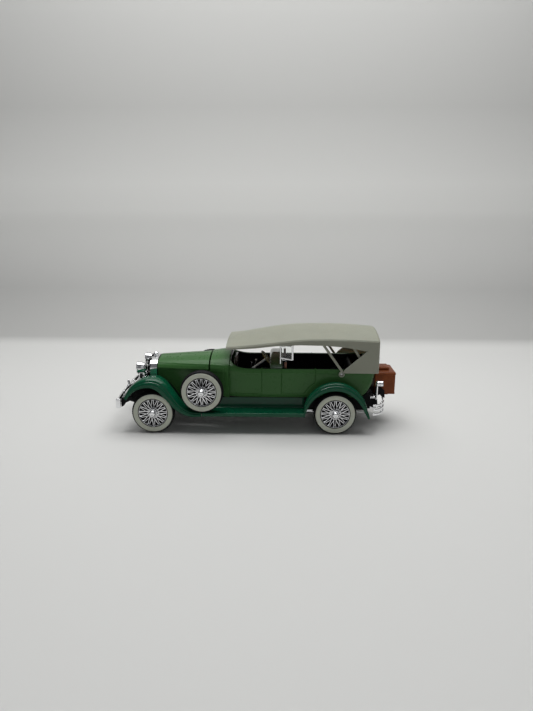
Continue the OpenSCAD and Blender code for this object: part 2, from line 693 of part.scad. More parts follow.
base_plate();
frame_horns();
base_screws();
exhaust_pipe();
front_axle();
rear_axle();
tyre(front_x, 1);  // front_left_tyre
tyre(front_x, -1);  // front_right_tyre
tyre(rear_x, 1);  // rear_left_tyre
tyre(rear_x, -1);  // rear_right_tyre
wheel(front_x, 1);  // front_left_wheel
wheel(front_x, -1);  // front_right_wheel
wheel(rear_x, 1);  // rear_left_wheel
wheel(rear_x, -1);  // rear_right_wheel
whitewalls(front_x);  // front_whitewalls
whitewalls(rear_x);  // rear_whitewalls
spare_tyres();
spare_wheels();
spare_whitewalls();
spare_carriers();
body_tub();
cowl();
hood_sides();
hood();
hood_hinge_leaf();
hood_hinge_pin();
engine_block();
radiator_shell();
radiator_core();
radiator_cap();
headlamps();
headlamp_lenses();
lamp_bar();
horn();
front_bumper();
front_fender();  // front_left_fender
mirror([0, 1, 0]) front_fender();  // front_right_fender
rear_fender();  // rear_left_fender
mirror([0, 1, 0]) rear_fender();  // rear_right_fender
running_board();  // left_running_board
mirror([0, 1, 0]) running_board();  // right_running_board
interior_tub();
front_seat();
rear_seat();
dashboard();
steering_column();
steering_wheel();
front_windshield_frame();
front_windshield_glass();
second_cowl();
rear_windshield_frame();
rear_windshield_glass();
roof();
rear_curtain();
top_irons();
trunk_body();
trunk_lid();
luggage_rack();
tail_lamps();
rear_bumper();
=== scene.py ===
"""Looks of a small diecast open touring car: shaped panels, wire wheels, moulded top and the stage.

Lengths are in millimetres while a shape is worked out, and become metres when its mesh is made.
+X is forwards, +Y is the car's left and +Z is up, with the origin on the ground in the middle.
"""
import math

import bmesh
import bpy
import numpy as np
from bpy.props import FloatProperty, FloatVectorProperty, IntProperty, PointerProperty
from mathutils import Matrix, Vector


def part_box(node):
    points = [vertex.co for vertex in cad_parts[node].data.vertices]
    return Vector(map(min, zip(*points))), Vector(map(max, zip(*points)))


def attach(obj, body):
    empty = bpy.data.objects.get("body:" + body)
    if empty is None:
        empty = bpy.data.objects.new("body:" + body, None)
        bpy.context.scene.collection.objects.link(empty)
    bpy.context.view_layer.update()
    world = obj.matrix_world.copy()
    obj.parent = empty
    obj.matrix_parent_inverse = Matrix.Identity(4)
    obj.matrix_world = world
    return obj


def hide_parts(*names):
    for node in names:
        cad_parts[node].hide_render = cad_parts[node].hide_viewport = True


bl_info = {
    "name": "Diecast touring car",
    "version": (1, 0, 0),
    "blender": (4, 5, 0),
    "location": "3D View > Sidebar > Touring Car",
    "description": "Builds the panels, wheels, top and stage of a small diecast touring car",
    "category": "Add Mesh",
}

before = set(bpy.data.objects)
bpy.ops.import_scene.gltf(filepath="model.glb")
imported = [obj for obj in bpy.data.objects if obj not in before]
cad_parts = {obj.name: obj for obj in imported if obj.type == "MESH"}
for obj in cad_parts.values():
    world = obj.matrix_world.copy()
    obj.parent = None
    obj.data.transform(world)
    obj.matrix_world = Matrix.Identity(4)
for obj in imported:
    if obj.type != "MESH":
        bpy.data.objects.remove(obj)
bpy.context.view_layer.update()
MM = 0.001


def low(node):
    """Lowest corner of a node of the frame, in millimetres."""
    return np.array(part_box(node)[0]) / MM


def high(node):
    """Highest corner of a node of the frame, in millimetres."""
    return np.array(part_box(node)[1]) / MM


def middle(node):
    """Middle of a node of the frame, in millimetres."""
    return (low(node) + high(node)) / 2


FRONT_WHEEL = middle("front_left_tyre")
REAR_WHEEL = middle("rear_left_tyre")
TYRE_R = FRONT_WHEEL[2]
SPARE_X, SPARE_Z = middle("spare_tyres")[[0, 2]]
BODY_LOW = low("body_tub")[2]
BODY_W = high("body_tub")[1]
COWL_FRONT = high("cowl")[0]
HOOD_REAR, HOOD_FRONT = low("hood")[0], high("hood")[0]
HOOD_LOW = low("hood")[2]
BOARD_IN, BOARD_OUT = low("left_running_board")[1] + 4.5, high("left_running_board")[1]
TOP_W = high("roof")[1]
COCKPIT_X = low("cowl")[0]
OPENING_FRONT = COCKPIT_X + 1.6


# ---------------------------------------------------------------- curves and grids

def power(v, e):
    """Sign-keeping power, the building block of squared ovals."""
    return np.sign(v) * np.abs(v) ** e


def smooth(x, knots):
    """Cubic Hermite curve through (place, value) knots, its slopes from the neighbouring knots."""
    kx, ky = np.array(knots, float).T
    slope = np.gradient(ky, kx)
    x = np.clip(np.asarray(x, float), kx[0], kx[-1])
    i = np.clip(np.searchsorted(kx, x, side="right") - 1, 0, len(kx) - 2)
    h = kx[i + 1] - kx[i]
    t = (x - kx[i]) / h
    return (
        (2 * t**3 - 3 * t**2 + 1) * ky[i] + (t**3 - 2 * t**2 + t) * h * slope[i]
        + (3 * t**2 - 2 * t**3) * ky[i + 1] + (t**3 - t**2) * h * slope[i + 1]
    )


def straight(x, knots):
    """Broken line through (place, value) knots."""
    kx, ky = np.array(knots, float).T
    return np.interp(x, kx, ky)


def ease(t):
    """Smooth step from 0 to 1."""
    t = np.clip(t, 0, 1)
    return t * t * (3 - 2 * t)


def pulse(distance, width):
    """1 at distance 0, falling smoothly to 0 at the given width."""
    return 1 - ease(np.abs(distance) / width)


def curve(points, n):
    """n points along the smooth curve through a few points, spaced by chord length."""
    p = np.array(points, float)
    s = np.concatenate([[0], np.cumsum(np.linalg.norm(np.diff(p, axis=0), axis=1))])
    t = np.linspace(0, s[-1], n)
    return np.stack([smooth(t, np.stack([s, c], 1)) for c in p.T], 1)


def arc(centre, radius, start, end, n):
    """n points of a circular arc in a plane, its angles in degrees."""
    a = np.radians(np.linspace(start, end, n))
    return np.stack([centre[0] + radius * np.cos(a), centre[1] + radius * np.sin(a)], 1)


def rounded_rect(width, height, r, n=5, centre=(0, 0)):
    """Closed outline of a rectangle with round corners, turning left."""
    corners = [(1, 1, 0), (-1, 1, 90), (-1, -1, 180), (1, -1, 270)]
    return np.concatenate([
        arc((centre[0] + sx * (width / 2 - r), centre[1] + sy * (height / 2 - r)), r, a, a + 90, n)
        for sx, sy, a in corners
    ])


def quads(nu, nv, wrap_u=False, wrap_v=False):
    """Faces of an nu by nv grid whose vertices are numbered row by row."""
    i, j = np.meshgrid(np.arange(nu - (not wrap_u)), np.arange(nv - (not wrap_v)), indexing="ij")
    i2, j2 = (i + 1) % nu, (j + 1) % nv
    return np.stack([i * nv + j, i2 * nv + j, i2 * nv + j2, i * nv + j2], -1).reshape(-1, 4)


def normals(p):
    """Unit normals of a grid, from the cross product of its two directions."""
    n = np.cross(np.gradient(p, axis=0), np.gradient(p, axis=1))
    return n / np.maximum(np.linalg.norm(n, axis=-1, keepdims=True), 1e-9)


def shell(p, thickness):
    """Closed sheet: a grid, its copy moved along its normals, and the strip around their rim."""
    nu, nv, _ = p.shape
    both = np.concatenate([p.reshape(-1, 3), (p - thickness * normals(p)).reshape(-1, 3)])
    n = nu * nv
    index = np.arange(n).reshape(nu, nv)
    rim = np.concatenate([index[:, 0], index[-1, 1:], index[-2::-1, -1], index[0, -2::-1]])
    strip = np.stack([rim[:-1], rim[1:], rim[1:] + n, rim[:-1] + n], 1)
    return both, np.concatenate([quads(nu, nv), quads(nu, nv)[:, ::-1] + n, strip])


def closed(p, wrap_u=False):
    """Solid from a grid of rings: each ring is closed, and the first and last are filled in."""
    if not wrap_u:
        ends = [np.broadcast_to(r.mean(0), r.shape) for r in (p[0], p[-1])]
        p = np.concatenate([ends[0][None], p, ends[1][None]])
    nu, nv, _ = p.shape
    return p.reshape(-1, 3), quads(nu, nv, wrap_u, True)


def sweep(path, section, up=(0, 0, 1), wrap=False, scale=None):
    """A closed section (side, up) carried along a path, square to it; wrap joins the path's ends."""
    path = np.array(path, float)
    if wrap:
        around = np.concatenate([path[-1:], path, path[:1]])
        tangent = around[2:] - around[:-2]
    else:
        tangent = np.gradient(path, axis=0)
    tangent = tangent / np.linalg.norm(tangent, axis=1, keepdims=True)
    side = np.cross(tangent, np.array(up, float))
    side = side / np.linalg.norm(side, axis=1, keepdims=True)
    rise = np.cross(side, tangent)
    section = np.array(section, float)
    size = np.ones(len(path)) if scale is None else np.array(scale, float)
    p = (path[:, None]
         + side[:, None] * (section[None, :, :1] * size[:, None, None])
         + rise[:, None] * (section[None, :, 1:] * size[:, None, None]))
    return closed(p, wrap)


def circle(r, n=10):
    """Closed round section."""
    return arc((0, 0), r, 0, 360 - 360 / n, n)


def tube(points, r, n=10, up=(0, 0, 1), wrap=False):
    """Round bar along a path of points."""
    return sweep(points, circle(r, n), up, wrap)


def lathe(profile, origin, axis, n=48):
    """A profile of (radius, height) points turned around an axis; radius 0 closes its ends."""
    profile = np.array(profile, float)
    axis = np.array(axis, float) / np.linalg.norm(axis)
    helper = np.array([1.0, 0, 0]) if abs(axis[0]) < 0.8 else np.array([0, 1.0, 0])
    e1 = np.cross(axis, helper)
    e1 /= np.linalg.norm(e1)
    e2 = np.cross(axis, e1)
    a = np.linspace(0, 2 * math.pi, n, endpoint=False)
    ring = e1 * np.cos(a)[:, None] + e2 * np.sin(a)[:, None]
    p = (np.array(origin, float) + axis * profile[:, 1, None, None]
         + ring[None] * profile[:, 0, None, None])
    return p.reshape(-1, 3), quads(len(profile), n, False, True)


def turned_ring(profile, origin, axis, n=96):
    """A closed profile of (radius, height) points turned into a ring."""
    v, _ = lathe(profile, origin, axis, n)
    return v, quads(len(profile), n, True, True)


def bevelled(profile, r, n=4):
    """A profile whose inner corners are rounded off by quadratic curves of reach r."""
    p = np.array(profile, float)
    out = [p[:1]]
    for a, b, c in zip(p[:-2], p[1:-1], p[2:]):
        la, lc = np.linalg.norm(a - b), np.linalg.norm(c - b)
        u, v = b + (a - b) * min(r / la, 0.45), b + (c - b) * min(r / lc, 0.45)
        t = np.linspace(0, 1, n)[:, None]
        out.append((1 - t) ** 2 * u + 2 * t * (1 - t) * b + t**2 * v)
    out.append(p[-1:])
    return np.concatenate(out)


def place(a, b, h, plane):
    """Points from two flat coordinates and a height above their plane."""
    h = np.broadcast_to(h, np.shape(a))
    order = {"xy": (a, b, h), "xz": (a, h, b), "yz": (h, a, b)}[plane]
    return np.stack(order, -1)


def pillow(outline, lo, hi, r, plane="xy", steps=4):
    """Solid plate with round edges: the outline shrinks along its normals near both faces."""
    o = np.array(outline, float)
    t = np.roll(o, -1, 0) - np.roll(o, 1, 0)
    n = np.stack([t[:, 1], -t[:, 0]], 1) / np.maximum(np.linalg.norm(t, axis=1, keepdims=True), 1e-9)
    a = np.radians(np.linspace(0, 90, steps))
    inset = np.concatenate([r * (1 - np.sin(a)), r * (1 - np.cos(a))])
    height = np.concatenate([lo + r * (1 - np.cos(a)), hi - r * (1 - np.sin(a))])
    rings = o[None] - n[None] * inset[:, None, None]
    return closed(place(rings[..., 0], rings[..., 1], height[:, None], plane))


def rounded_box(lo, hi, corner, edge, plane="xy", n=5):
    """Box with round upright corners and rounded edges, between two corners in space."""
    lo, hi = np.array(lo, float), np.array(hi, float)
    ia, ib, ih = {"xy": (0, 1, 2), "xz": (0, 2, 1), "yz": (1, 2, 0)}[plane]
    outline = rounded_rect(hi[ia] - lo[ia], hi[ib] - lo[ib], corner, n,
                           ((lo[ia] + hi[ia]) / 2, (lo[ib] + hi[ib]) / 2))
    return pillow(outline, lo[ih], hi[ih], edge, plane)


def mirrored(part):
    """The same shape on the car's other side."""
    v, f = part
    return v * np.array([1, -1, 1]), f[:, ::-1]


def join(*parts):
    """Several shapes as one list of points and faces."""
    start = np.cumsum([0] + [len(v) for v, _ in parts[:-1]])
    return (np.concatenate([v for v, _ in parts]),
            np.concatenate([f + s for (_, f), s in zip(parts, start)]))


def pair(*parts):
    """Shapes with their mirrored copies."""
    one = join(*parts)
    return join(one, mirrored(one))


def new_object(name, data):
    """Puts a mesh, a light or the camera into the scene."""
    obj = bpy.data.objects.new(name, data)
    bpy.context.scene.collection.objects.link(obj)
    return obj


def piece(name, part, material, body="car", replaces=(), sharp=38):
    """Makes the object: merges doubles, turns faces outwards, smooths all but sharp edges."""
    v, f = part
    mesh = bpy.data.meshes.new(name)
    mesh.from_pydata((v * MM).tolist(), [], f.tolist())
    work = bmesh.new()
    work.from_mesh(mesh)
    bmesh.ops.remove_doubles(work, verts=work.verts, dist=2e-6)
    bmesh.ops.dissolve_degenerate(work, edges=work.edges, dist=1e-7)
    bmesh.ops.recalc_face_normals(work, faces=work.faces)
    work.to_mesh(mesh)
    work.free()
    mesh.polygons.foreach_set("use_smooth", np.ones(len(mesh.polygons), bool))
    mesh.set_sharp_from_angle(angle=math.radians(sharp))
    obj = new_object(name, mesh)
    mesh.materials.append(material)
    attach(obj, body)
    if replaces:
        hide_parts(*replaces)
    return obj


def refinish(node, material):
    """Gives a node of the frame a new material and leaves its shape alone."""
    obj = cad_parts[node]
    if not obj.material_slots:
        obj.data.materials.append(material)
    for holder in obj.material_slots:
        holder.material = material


# ---------------------------------------------------------------- materials

class Finish:
    """A node material around one Principled shader, with short calls for its usual detail."""

    def __init__(self, name, colour, roughness, **sockets):
        self.material = bpy.data.materials.new(name)
        self.material.use_nodes = True
        self.tree = self.material.node_tree
        self.shader = self.tree.nodes["Principled BSDF"]
        self.colour = tuple(colour)
        self.roughness = roughness
        self.set(self.shader, **{"Base Color": (*colour, 1), "Roughness": roughness})
        self.set(self.shader, **{k.replace("_", " "): v for k, v in sockets.items()})
        self.coords = self.node("ShaderNodeTexCoord").outputs["Object"]
        self.height = None

    def node(self, kind, inputs=None, **attributes):
        """Adds a node with its attributes and inputs set."""
        made = self.tree.nodes.new(kind)
        for key, value in attributes.items():
            setattr(made, key, value)
        self.set(made, **(inputs or {}))
        return made

    def set(self, node, **inputs):
        """Sets or links inputs by name; _0, _1 and so on count them instead."""
        for key, value in inputs.items():
            socket = node.inputs[int(key[1:])] if key[:1] == "_" else node.inputs[key]
            if isinstance(value, bpy.types.NodeSocket):
                self.tree.links.new(value, socket)
            else:
                socket.default_value = value

    def noise(self, scale, detail=3, stretch=None):
        """Cloudy noise, its scale in cycles per metre; stretch squeezes it along an axis."""
        at = self.coords
        if stretch:
            at = self.node("ShaderNodeMapping", {"Vector": at, "Scale": stretch}).outputs[0]
        made = self.node("ShaderNodeTexNoise", {"Vector": at, "Scale": scale, "Detail": detail})
        return made.outputs["Fac"]

    def span(self, value, low_in, high_in, low_out, high_out):
        """Maps one range of a value to another."""
        made = self.node("ShaderNodeMapRange", {
            "Value": value, "From Min": low_in, "From Max": high_in,
            "To Min": low_out, "To Max": high_out})
        return made.outputs[0]

    def blend(self, amount, first, second):
        """Mix of two colours by an amount."""
        made = self.node("ShaderNodeMix", {"_0": amount}, data_type="RGBA")
        for index, value in ((6, first), (7, second)):
            if isinstance(value, bpy.types.NodeSocket):
                self.tree.links.new(value, made.inputs[index])
            else:
                made.inputs[index].default_value = (*value, 1)
        return made.outputs[2]

    def mottle(self, scale, other, amount=1.0, detail=4):
        """Lets the colour wander towards another one in cloudy patches."""
        patches = self.span(self.noise(scale, detail), 0.35, 0.65, 0, amount)
        source = self.shader.inputs["Base Color"]
        first = source.links[0].from_socket if source.links else self.colour
        self.set(self.shader, **{"Base Color": self.blend(patches, first, other)})
        return self

    def vary_gloss(self, scale, spread):
        """Roughness that changes a little from place to place."""
        value = self.span(self.noise(scale, 3), 0.3, 0.7,
                          max(0.02, self.roughness - spread), self.roughness + spread)
        self.set(self.shader, **{"Roughness": value})
        return self

    def relief(self, value, depth):
        """Adds a height pattern; depth is in metres."""
        before = {} if self.height is None else {"Normal": self.height}
        made = self.node("ShaderNodeBump", {"Height": value, "Distance": depth, "Strength": 1.0, **before})
        self.height = made.outputs[0]
        self.set(self.shader, Normal=self.height)
        return self

    def edge_wear_and_highlight(self, colour, amount):
        """Lighter colour where the surface bends outwards: rubbed wear, and painted highlight on the edges.
        """
        edge = self.node("ShaderNodeNewGeometry").outputs["Pointiness"]
        rub_and_highlight = self.span(edge, 0.52, 0.6, 0, amount)
        broken = self.node("ShaderNodeMath", {"_0": rub_and_highlight, "_1": self.noise(900, 4)},
                           operation="MULTIPLY").outputs[0]
        source = self.shader.inputs["Base Color"]
        first = source.links[0].from_socket if source.links else self.colour
        self.set(self.shader, **{"Base Color": self.blend(broken, first, colour)})
        return self


def tone(colour, factor):
    """A colour made lighter or darker."""
    return tuple(min(1.0, c * factor) for c in colour)


def body_enamel(colour):
    """Thick satin enamel over a casting: faint orange peel and slow colour drift."""
    made = Finish("body_enamel", colour, 0.3, Coat_Weight=0.12, Coat_Roughness=0.12,
                  Specular_IOR_Level=0.14)
    made.mottle(120, tone(colour, 1.12), 0.4).mottle(2600, tone(colour, 0.93), 0.25)
    made.vary_gloss(420, 0.04)
    return made.relief(made.noise(900, 1), 0.000003).relief(made.noise(5200, 2), 0.0000015).material


def fender_gloss(colour):
    """Glossy coloured plastic with soft flow marks from its mould."""
    made = Finish("fender_gloss", colour, 0.16, Coat_Weight=0.35, Coat_Roughness=0.04,
                  Specular_IOR_Level=0.12)
    made.mottle(220, tone(colour, 1.3), 0.45)
    flow = made.noise(500, 3, (0.35, 1, 1.6))
    made.vary_gloss(700, 0.04)
    return made.relief(flow, 0.000004).relief(made.noise(4200, 2), 0.000001).material


def plating(name="plating", tint=(0.88, 0.885, 0.9), roughness=0.07):
    """Bright vacuum plating over plastic: tiny ripples and a haze of handling marks."""
    made = Finish(name, tint, roughness, Metallic=1.0)
    made.mottle(900, tone(tint, 0.8), 0.35)
    made.vary_gloss(1300, 0.05)
    return made.relief(made.noise(1800, 3), 0.000004).material


def dull_moulding(name, colour, roughness=0.55, grain=0.00002):
    """Matt moulded plastic with a fine spark-eroded grain."""
    made = Finish(name, colour, roughness, Specular_IOR_Level=0.12)
    made.mottle(700, tone(colour, 1.7), 0.35).vary_gloss(1600, 0.09)
    return made.relief(made.noise(6500, 3), grain).material


def tyre_rubber():
    """Black rubber, greyer where it is dusty."""
    made = Finish("tyre_rubber", (0.006, 0.006, 0.007), 0.62, Specular_IOR_Level=0.14)
    made.mottle(1200, (0.014, 0.014, 0.015), 0.55).vary_gloss(2400, 0.1)
    return made.relief(made.noise(5200, 3), 0.00002).material


def whitewall_rubber():
    """Off-white rubber that has yellowed a little, with a few grey scuffs."""
    made = Finish("whitewall_rubber", (0.56, 0.57, 0.47), 0.5, Subsurface_Weight=0.06,
                  Specular_IOR_Level=0.25)
    made.mottle(480, (0.6, 0.62, 0.52), 0.7).mottle(3000, (0.42, 0.42, 0.36), 0.22)
    made.vary_gloss(1500, 0.1)
    return made.relief(made.noise(4200, 3), 0.000012).material


def top_moulding(colour):
    """Grey-cream plastic moulded like taut canvas: fine weave relief and slight dirt."""
    made = Finish("top_moulding", colour, 0.5, Specular_IOR_Level=0.2, Subsurface_Weight=0.03)
    made.mottle(120, tone(colour, 1.1), 0.6).mottle(3200, tone(colour, 0.84), 0.3)
    made.vary_gloss(900, 0.06)
    weave = [
        made.node("ShaderNodeTexWave", {"Vector": made.coords, "Scale": 900.0, "Distortion": 0.6,
                                        "Detail": 1.0}, bands_direction=axis).outputs["Fac"]
        for axis in ("X", "Y", "Z")
    ]
    crossed = made.node("ShaderNodeMath", {"_0": weave[0], "_1": weave[1]}, operation="ADD").outputs[0]
    crossed = made.node("ShaderNodeMath", {"_0": crossed, "_1": weave[2]}, operation="ADD").outputs[0]
    return made.relief(crossed, 0.000006).relief(made.noise(3600, 3), 0.000012).material


def trunk_leather(colour):
    """Brown moulding that looks like old leather: pebbled grain, dark hollows, edges lighter as rubbed wear
    and painted highlight.
    """
    made = Finish("trunk_leather", colour, 0.4, Coat_Weight=0.06, Coat_Roughness=0.25,
                  Specular_IOR_Level=0.16)
    made.mottle(260, tone(colour, 1.5), 0.6).mottle(1700, tone(colour, 0.6), 0.5)
    cells = made.node("ShaderNodeTexVoronoi", {"Vector": made.coords, "Scale": 2100.0},
                      feature="DISTANCE_TO_EDGE").outputs[0]
    # Lighter edges: partly rubbed wear, partly painted highlight on the rounded edges and lid rims.
    made.vary_gloss(1100, 0.1).edge_wear_and_highlight(tone(colour, 2.6), 0.8)
    return made.relief(made.span(cells, 0, 0.12, 0, 1), 0.00003).relief(made.noise(3300, 4), 0.00003).material


def clear_plastic():
    """Clear window plastic, very slightly smoky, with faint haze."""
    made = Finish("clear_plastic", (0.93, 0.95, 0.94), 0.05, IOR=1.46, Transmission_Weight=1.0)
    made.vary_gloss(600, 0.03)
    return made.relief(made.noise(900, 2), 0.000004).material


def lens(name, colour):
    """Coloured lamp lens with moulded ribs."""
    made = Finish(name, colour, 0.08, IOR=1.5, Transmission_Weight=0.6, Coat_Weight=0.5)
    made.mottle(900, tone(colour, 0.7), 0.4)
    ribs = made.node("ShaderNodeTexWave", {"Vector": made.coords, "Scale": 650.0},
                     bands_direction="Z").outputs["Fac"]
    return made.relief(ribs, 0.00004).material


def seat_moulding(colour):
    """Black moulded upholstery with a leathery grain."""
    made = Finish("seat_moulding", colour, 0.42, Specular_IOR_Level=0.2)
    made.mottle(600, tone(colour, 2.2), 0.4).vary_gloss(1500, 0.1)
    cells = made.node("ShaderNodeTexVoronoi", {"Vector": made.coords, "Scale": 2600.0},
                      feature="DISTANCE_TO_EDGE").outputs[0]
    return made.relief(made.span(cells, 0, 0.1, 0, 1), 0.00002).material


def engine_paint(colour):
    """Grey cast engine paint, darker in oily patches."""
    made = Finish("engine_paint", colour, 0.48, Metallic=0.35)
    made.mottle(500, tone(colour, 0.5), 0.6).vary_gloss(1300, 0.12)
    return made.relief(made.noise(2600, 4), 0.00004).material


def bare_steel():
    """Turned steel rod with fine lathe lines."""
    made = Finish("bare_steel", (0.5, 0.5, 0.51), 0.28, Metallic=1.0)
    lines = made.noise(700, 2, (1, 14, 1))
    made.mottle(1100, (0.36, 0.36, 0.37), 0.5).vary_gloss(900, 0.1)
    return made.relief(lines, 0.000008).material


def wood_moulding(colour, name="wood_moulding"):
    """Brown trim with long streaks of grain."""
    made = Finish(name, colour, 0.36, Coat_Weight=0.4, Coat_Roughness=0.15)
    streaks = made.noise(800, 5, (6, 0.5, 6))
    made.set(made.shader, **{"Base Color": made.blend(
        made.span(streaks, 0.35, 0.65, 0, 1), colour, tone(colour, 2.4))})
    made.vary_gloss(1200, 0.06)
    return made.relief(streaks, 0.00002).material


def olive_moulding():
    """Polished olive-brown moulding of the steering wheel."""
    made = Finish("olive_moulding", (0.17, 0.14, 0.05), 0.25, Coat_Weight=0.3)
    made.mottle(900, (0.24, 0.2, 0.08), 0.4).vary_gloss(900, 0.05)
    return made.relief(made.noise(2600, 2), 0.000003).material


def deck_shaded_gloss(colour):
    """Thick shiny enamel of the deck between the two cabins, its colour darkened as painted shade from the
    top above it.
    """
    # Painted shade: the body colour at 0.55, with darker patches, stands in for the top's shadow on the deck.
    made = Finish("deck_shaded_gloss", tone(colour, 0.55), 0.1, Coat_Weight=1.0, Coat_Roughness=0.04, Coat_IOR=1.8)
    made.mottle(260, tone(colour, 0.75), 0.5).vary_gloss(500, 0.03)
    return made.relief(made.noise(900, 1), 0.000003).material


class Finishes:
    """All the materials, made once from the colours in the settings."""

    def __init__(self, look):
        self.body = body_enamel(look.body_colour)
        self.fender = fender_gloss(look.fender_colour)
        self.chrome = plating()
        self.dark_plating = plating("dark_plating", (0.12, 0.12, 0.12), 0.3)
        self.satin = plating("satin_plating", (0.9, 0.9, 0.88), 0.38)
        self.black = dull_moulding("black_moulding", (0.006, 0.006, 0.007))
        self.rubber = tyre_rubber()
        self.whitewall = whitewall_rubber()
        self.top = top_moulding(look.top_colour)
        self.trunk = trunk_leather(look.trunk_colour)
        self.glass = clear_plastic()
        self.red = lens("tail_lens", (0.5, 0.01, 0.01))
        self.seat = seat_moulding((0.012, 0.012, 0.013))
        self.engine = engine_paint((0.2, 0.21, 0.21))
        self.steel = bare_steel()
        self.wood = wood_moulding((0.1, 0.035, 0.015))
        self.dark_wood = wood_moulding((0.012, 0.007, 0.005), "dark_wood")
        self.olive = olive_moulding()
        # Deck: body colour darkened as painted shade.
        self.deck = deck_shaded_gloss(look.body_colour)


FINISHES = {}


def finishes(context):
    """The materials, made at their first use."""
    if "all" not in FINISHES:
        FINISHES["all"] = Finishes(context.scene.touring_car_look)
    return FINISHES["all"]


# ---------------------------------------------------------------- body shape

WALL = 1.2
SHOULDER = 36.4
ROUND = 0.93
REAR_CORNER = -58.0
DOORS = [(19.9, -2.5), (-14.2, -34.2)]
SILL = 23.2
CREASE = 38.9
ARC_R = 21.0


def half_width(x):
    """Half of the body's width along the car."""
    return smooth(x, [(-58, 19.4), (-45, BODY_W), (3, BODY_W), (11, 19.35), (15.4, 18.8),
                      (22, 17.1), (28.4, 15.3), (40, 13.95), (61, 11.45)])


def crown_height(x):
    """Height of the closed arch over the cowl and the hood."""
    return smooth(x, [(-16, 44.2), (0, 44.2), (15.4, 44.1), (22, 43.5), (28.4, 42.7), (44, 41.7), (61, 40.6)])


def arch(w, side, top, a):
    """Squared-oval arch: distance from the middle and height at angle a from the shoulder."""
    return w * power(np.cos(a), ROUND), side + (top - side) * power(np.sin(a), ROUND)


def door_grooves(x, z):
    """Depth of the moulded door lines: uprights, sill line and the arc over the rear wheel."""
    inside = ease((z - SILL + 0.25) / 0.2) * ease((38.4 - z) / 0.3)
    from_axle = np.hypot(x - REAR_WHEEL[0], z - REAR_WHEEL[2])
    outside_arc = ease((from_axle - ARC_R + 0.2) / 0.2)
    lines = np.zeros(np.broadcast(x, z).shape)
    for front, rear in DOORS:
        for at in (front, rear):
            lines = np.maximum(lines, pulse(x - at, 0.34) * inside * outside_arc)
        between = ease((front - x) / 0.3) * ease((x - rear) / 0.3)
        lines = np.maximum(lines, pulse(z - SILL, 0.3) * between * outside_arc)
        lines = np.maximum(lines, pulse(from_axle - ARC_R, 0.34) * between * ease((z - SILL) / 0.2))
    return lines


def side_rows():
    """Heights of the body's side below its shoulder, closer together at the sill line."""
    return np.concatenate([np.linspace(BODY_LOW, 22.4, 9)[:-1], np.linspace(22.4, 24.2, 13)[:-1],
                           np.linspace(24.2, 35.4, 34)[:-1], np.linspace(35.4, SHOULDER, 6)])


def tuck(z):
    """How far the side turns in towards its lower edge."""
    return 1.3 * (1 - ease((z - BODY_LOW + 0.4) / 3.2)) ** 1.4


def belt_bead(z):
    """Low raised moulding just under the shoulder."""
    return 0.22 * pulse(z - 36.0, 0.55)


def body_stations():
    """Places along the left side from the cockpit's front to the rear corner."""
    angle = np.radians(np.concatenate([np.linspace(90, 60, 24), np.linspace(58, 0, 24)]))
    front = -2 + (OPENING_FRONT + 2) * np.sqrt(np.abs(np.sin(angle)))
    plain = np.arange(-2.5, REAR_CORNER, -1.1)
    near_arc = np.arange(-24, -36, -0.3)
    uprights = np.concatenate([at + np.linspace(-0.4, 0.4, 9) for door in DOORS for at in door])
    x = np.unique(np.round(np.concatenate([front, plain, near_arc, uprights, [REAR_CORNER]]), 3))[::-1]
    return x[x <= OPENING_FRONT]


def body_grid(inset=0.0, low_z=None, high_cut=0.0):
    """The open body from the left front along the side, round the back and forwards again.

    Plan: the side's half-width, then a squared oval round the rear corner whose depth grows with
    height. Section: an upright side with a turned-in foot, then the start of the arch up to the edge.
    """
    x = body_stations()
    t = np.radians(np.linspace(0, 90, 40))[1:]
    lower = side_rows() if low_z is None else np.linspace(low_z, SHOULDER, 12)
    upper = np.linspace(0, 1, 11)[1:]
    w = half_width(x)
    along = np.maximum(0, x + 2) / (OPENING_FRONT + 2)
    edge_y = w * 0.975 * np.clip(1 - along**5.5, 0, 1) ** (1 / 5.5)
    edge_a = np.arccos(np.clip(np.minimum(edge_y, w * 0.975) / w, 0, 1) ** (1 / ROUND))
    edge_a = np.concatenate([edge_a, np.full(len(t), edge_a[-1])])
    w = np.concatenate([w, np.full(len(t), w[-1])])
    crown = np.concatenate([crown_height(x), np.full(len(t), 44.2)])
    n = len(w)
    arch_y, arch_z = arch(w[:, None], SHOULDER, crown[:, None], edge_a[:, None] * upper)
    inward = np.concatenate([np.tile(tuck(lower), (n, 1)), w[:, None] - arch_y], 1)
    z = np.concatenate([np.tile(lower, (n, 1)), arch_z], 1)
    z = np.minimum(z, z.max() - high_cut) if high_cut else z
    plan_x = np.concatenate([x, np.full(len(t), REAR_CORNER)])[:, None] + 0 * z
    on_side = np.concatenate([np.ones(len(x), bool), np.zeros(len(t), bool)])[:, None]
    depth = smooth(z,
                   [(20.6, 5.6), (22, 6.9), (25.8, 9.8), (29, 11.3), (31.9, 12.1), (36, 12.65), (44, 12.8)])
    turn = np.concatenate([np.zeros(len(x)), t])[:, None]
    grooves = door_grooves(plan_x, z) * 0.3 * on_side
    bead = belt_bead(z) * ease((12 - plan_x) / 6)
    cut = inward + inset + (0 if inset else grooves - bead)
    squareness = 2 / 5.2
    out_x = plan_x - np.where(on_side, 0, (depth - cut) * power(np.sin(turn), squareness))
    out_y = (w[:, None] - cut) * np.where(on_side, 1, power(np.cos(turn), squareness))
    left = np.stack([out_x, out_y, z], -1)
    right = left[:-1][::-1] * np.array([1, -1, 1])
    return np.concatenate([left, right])


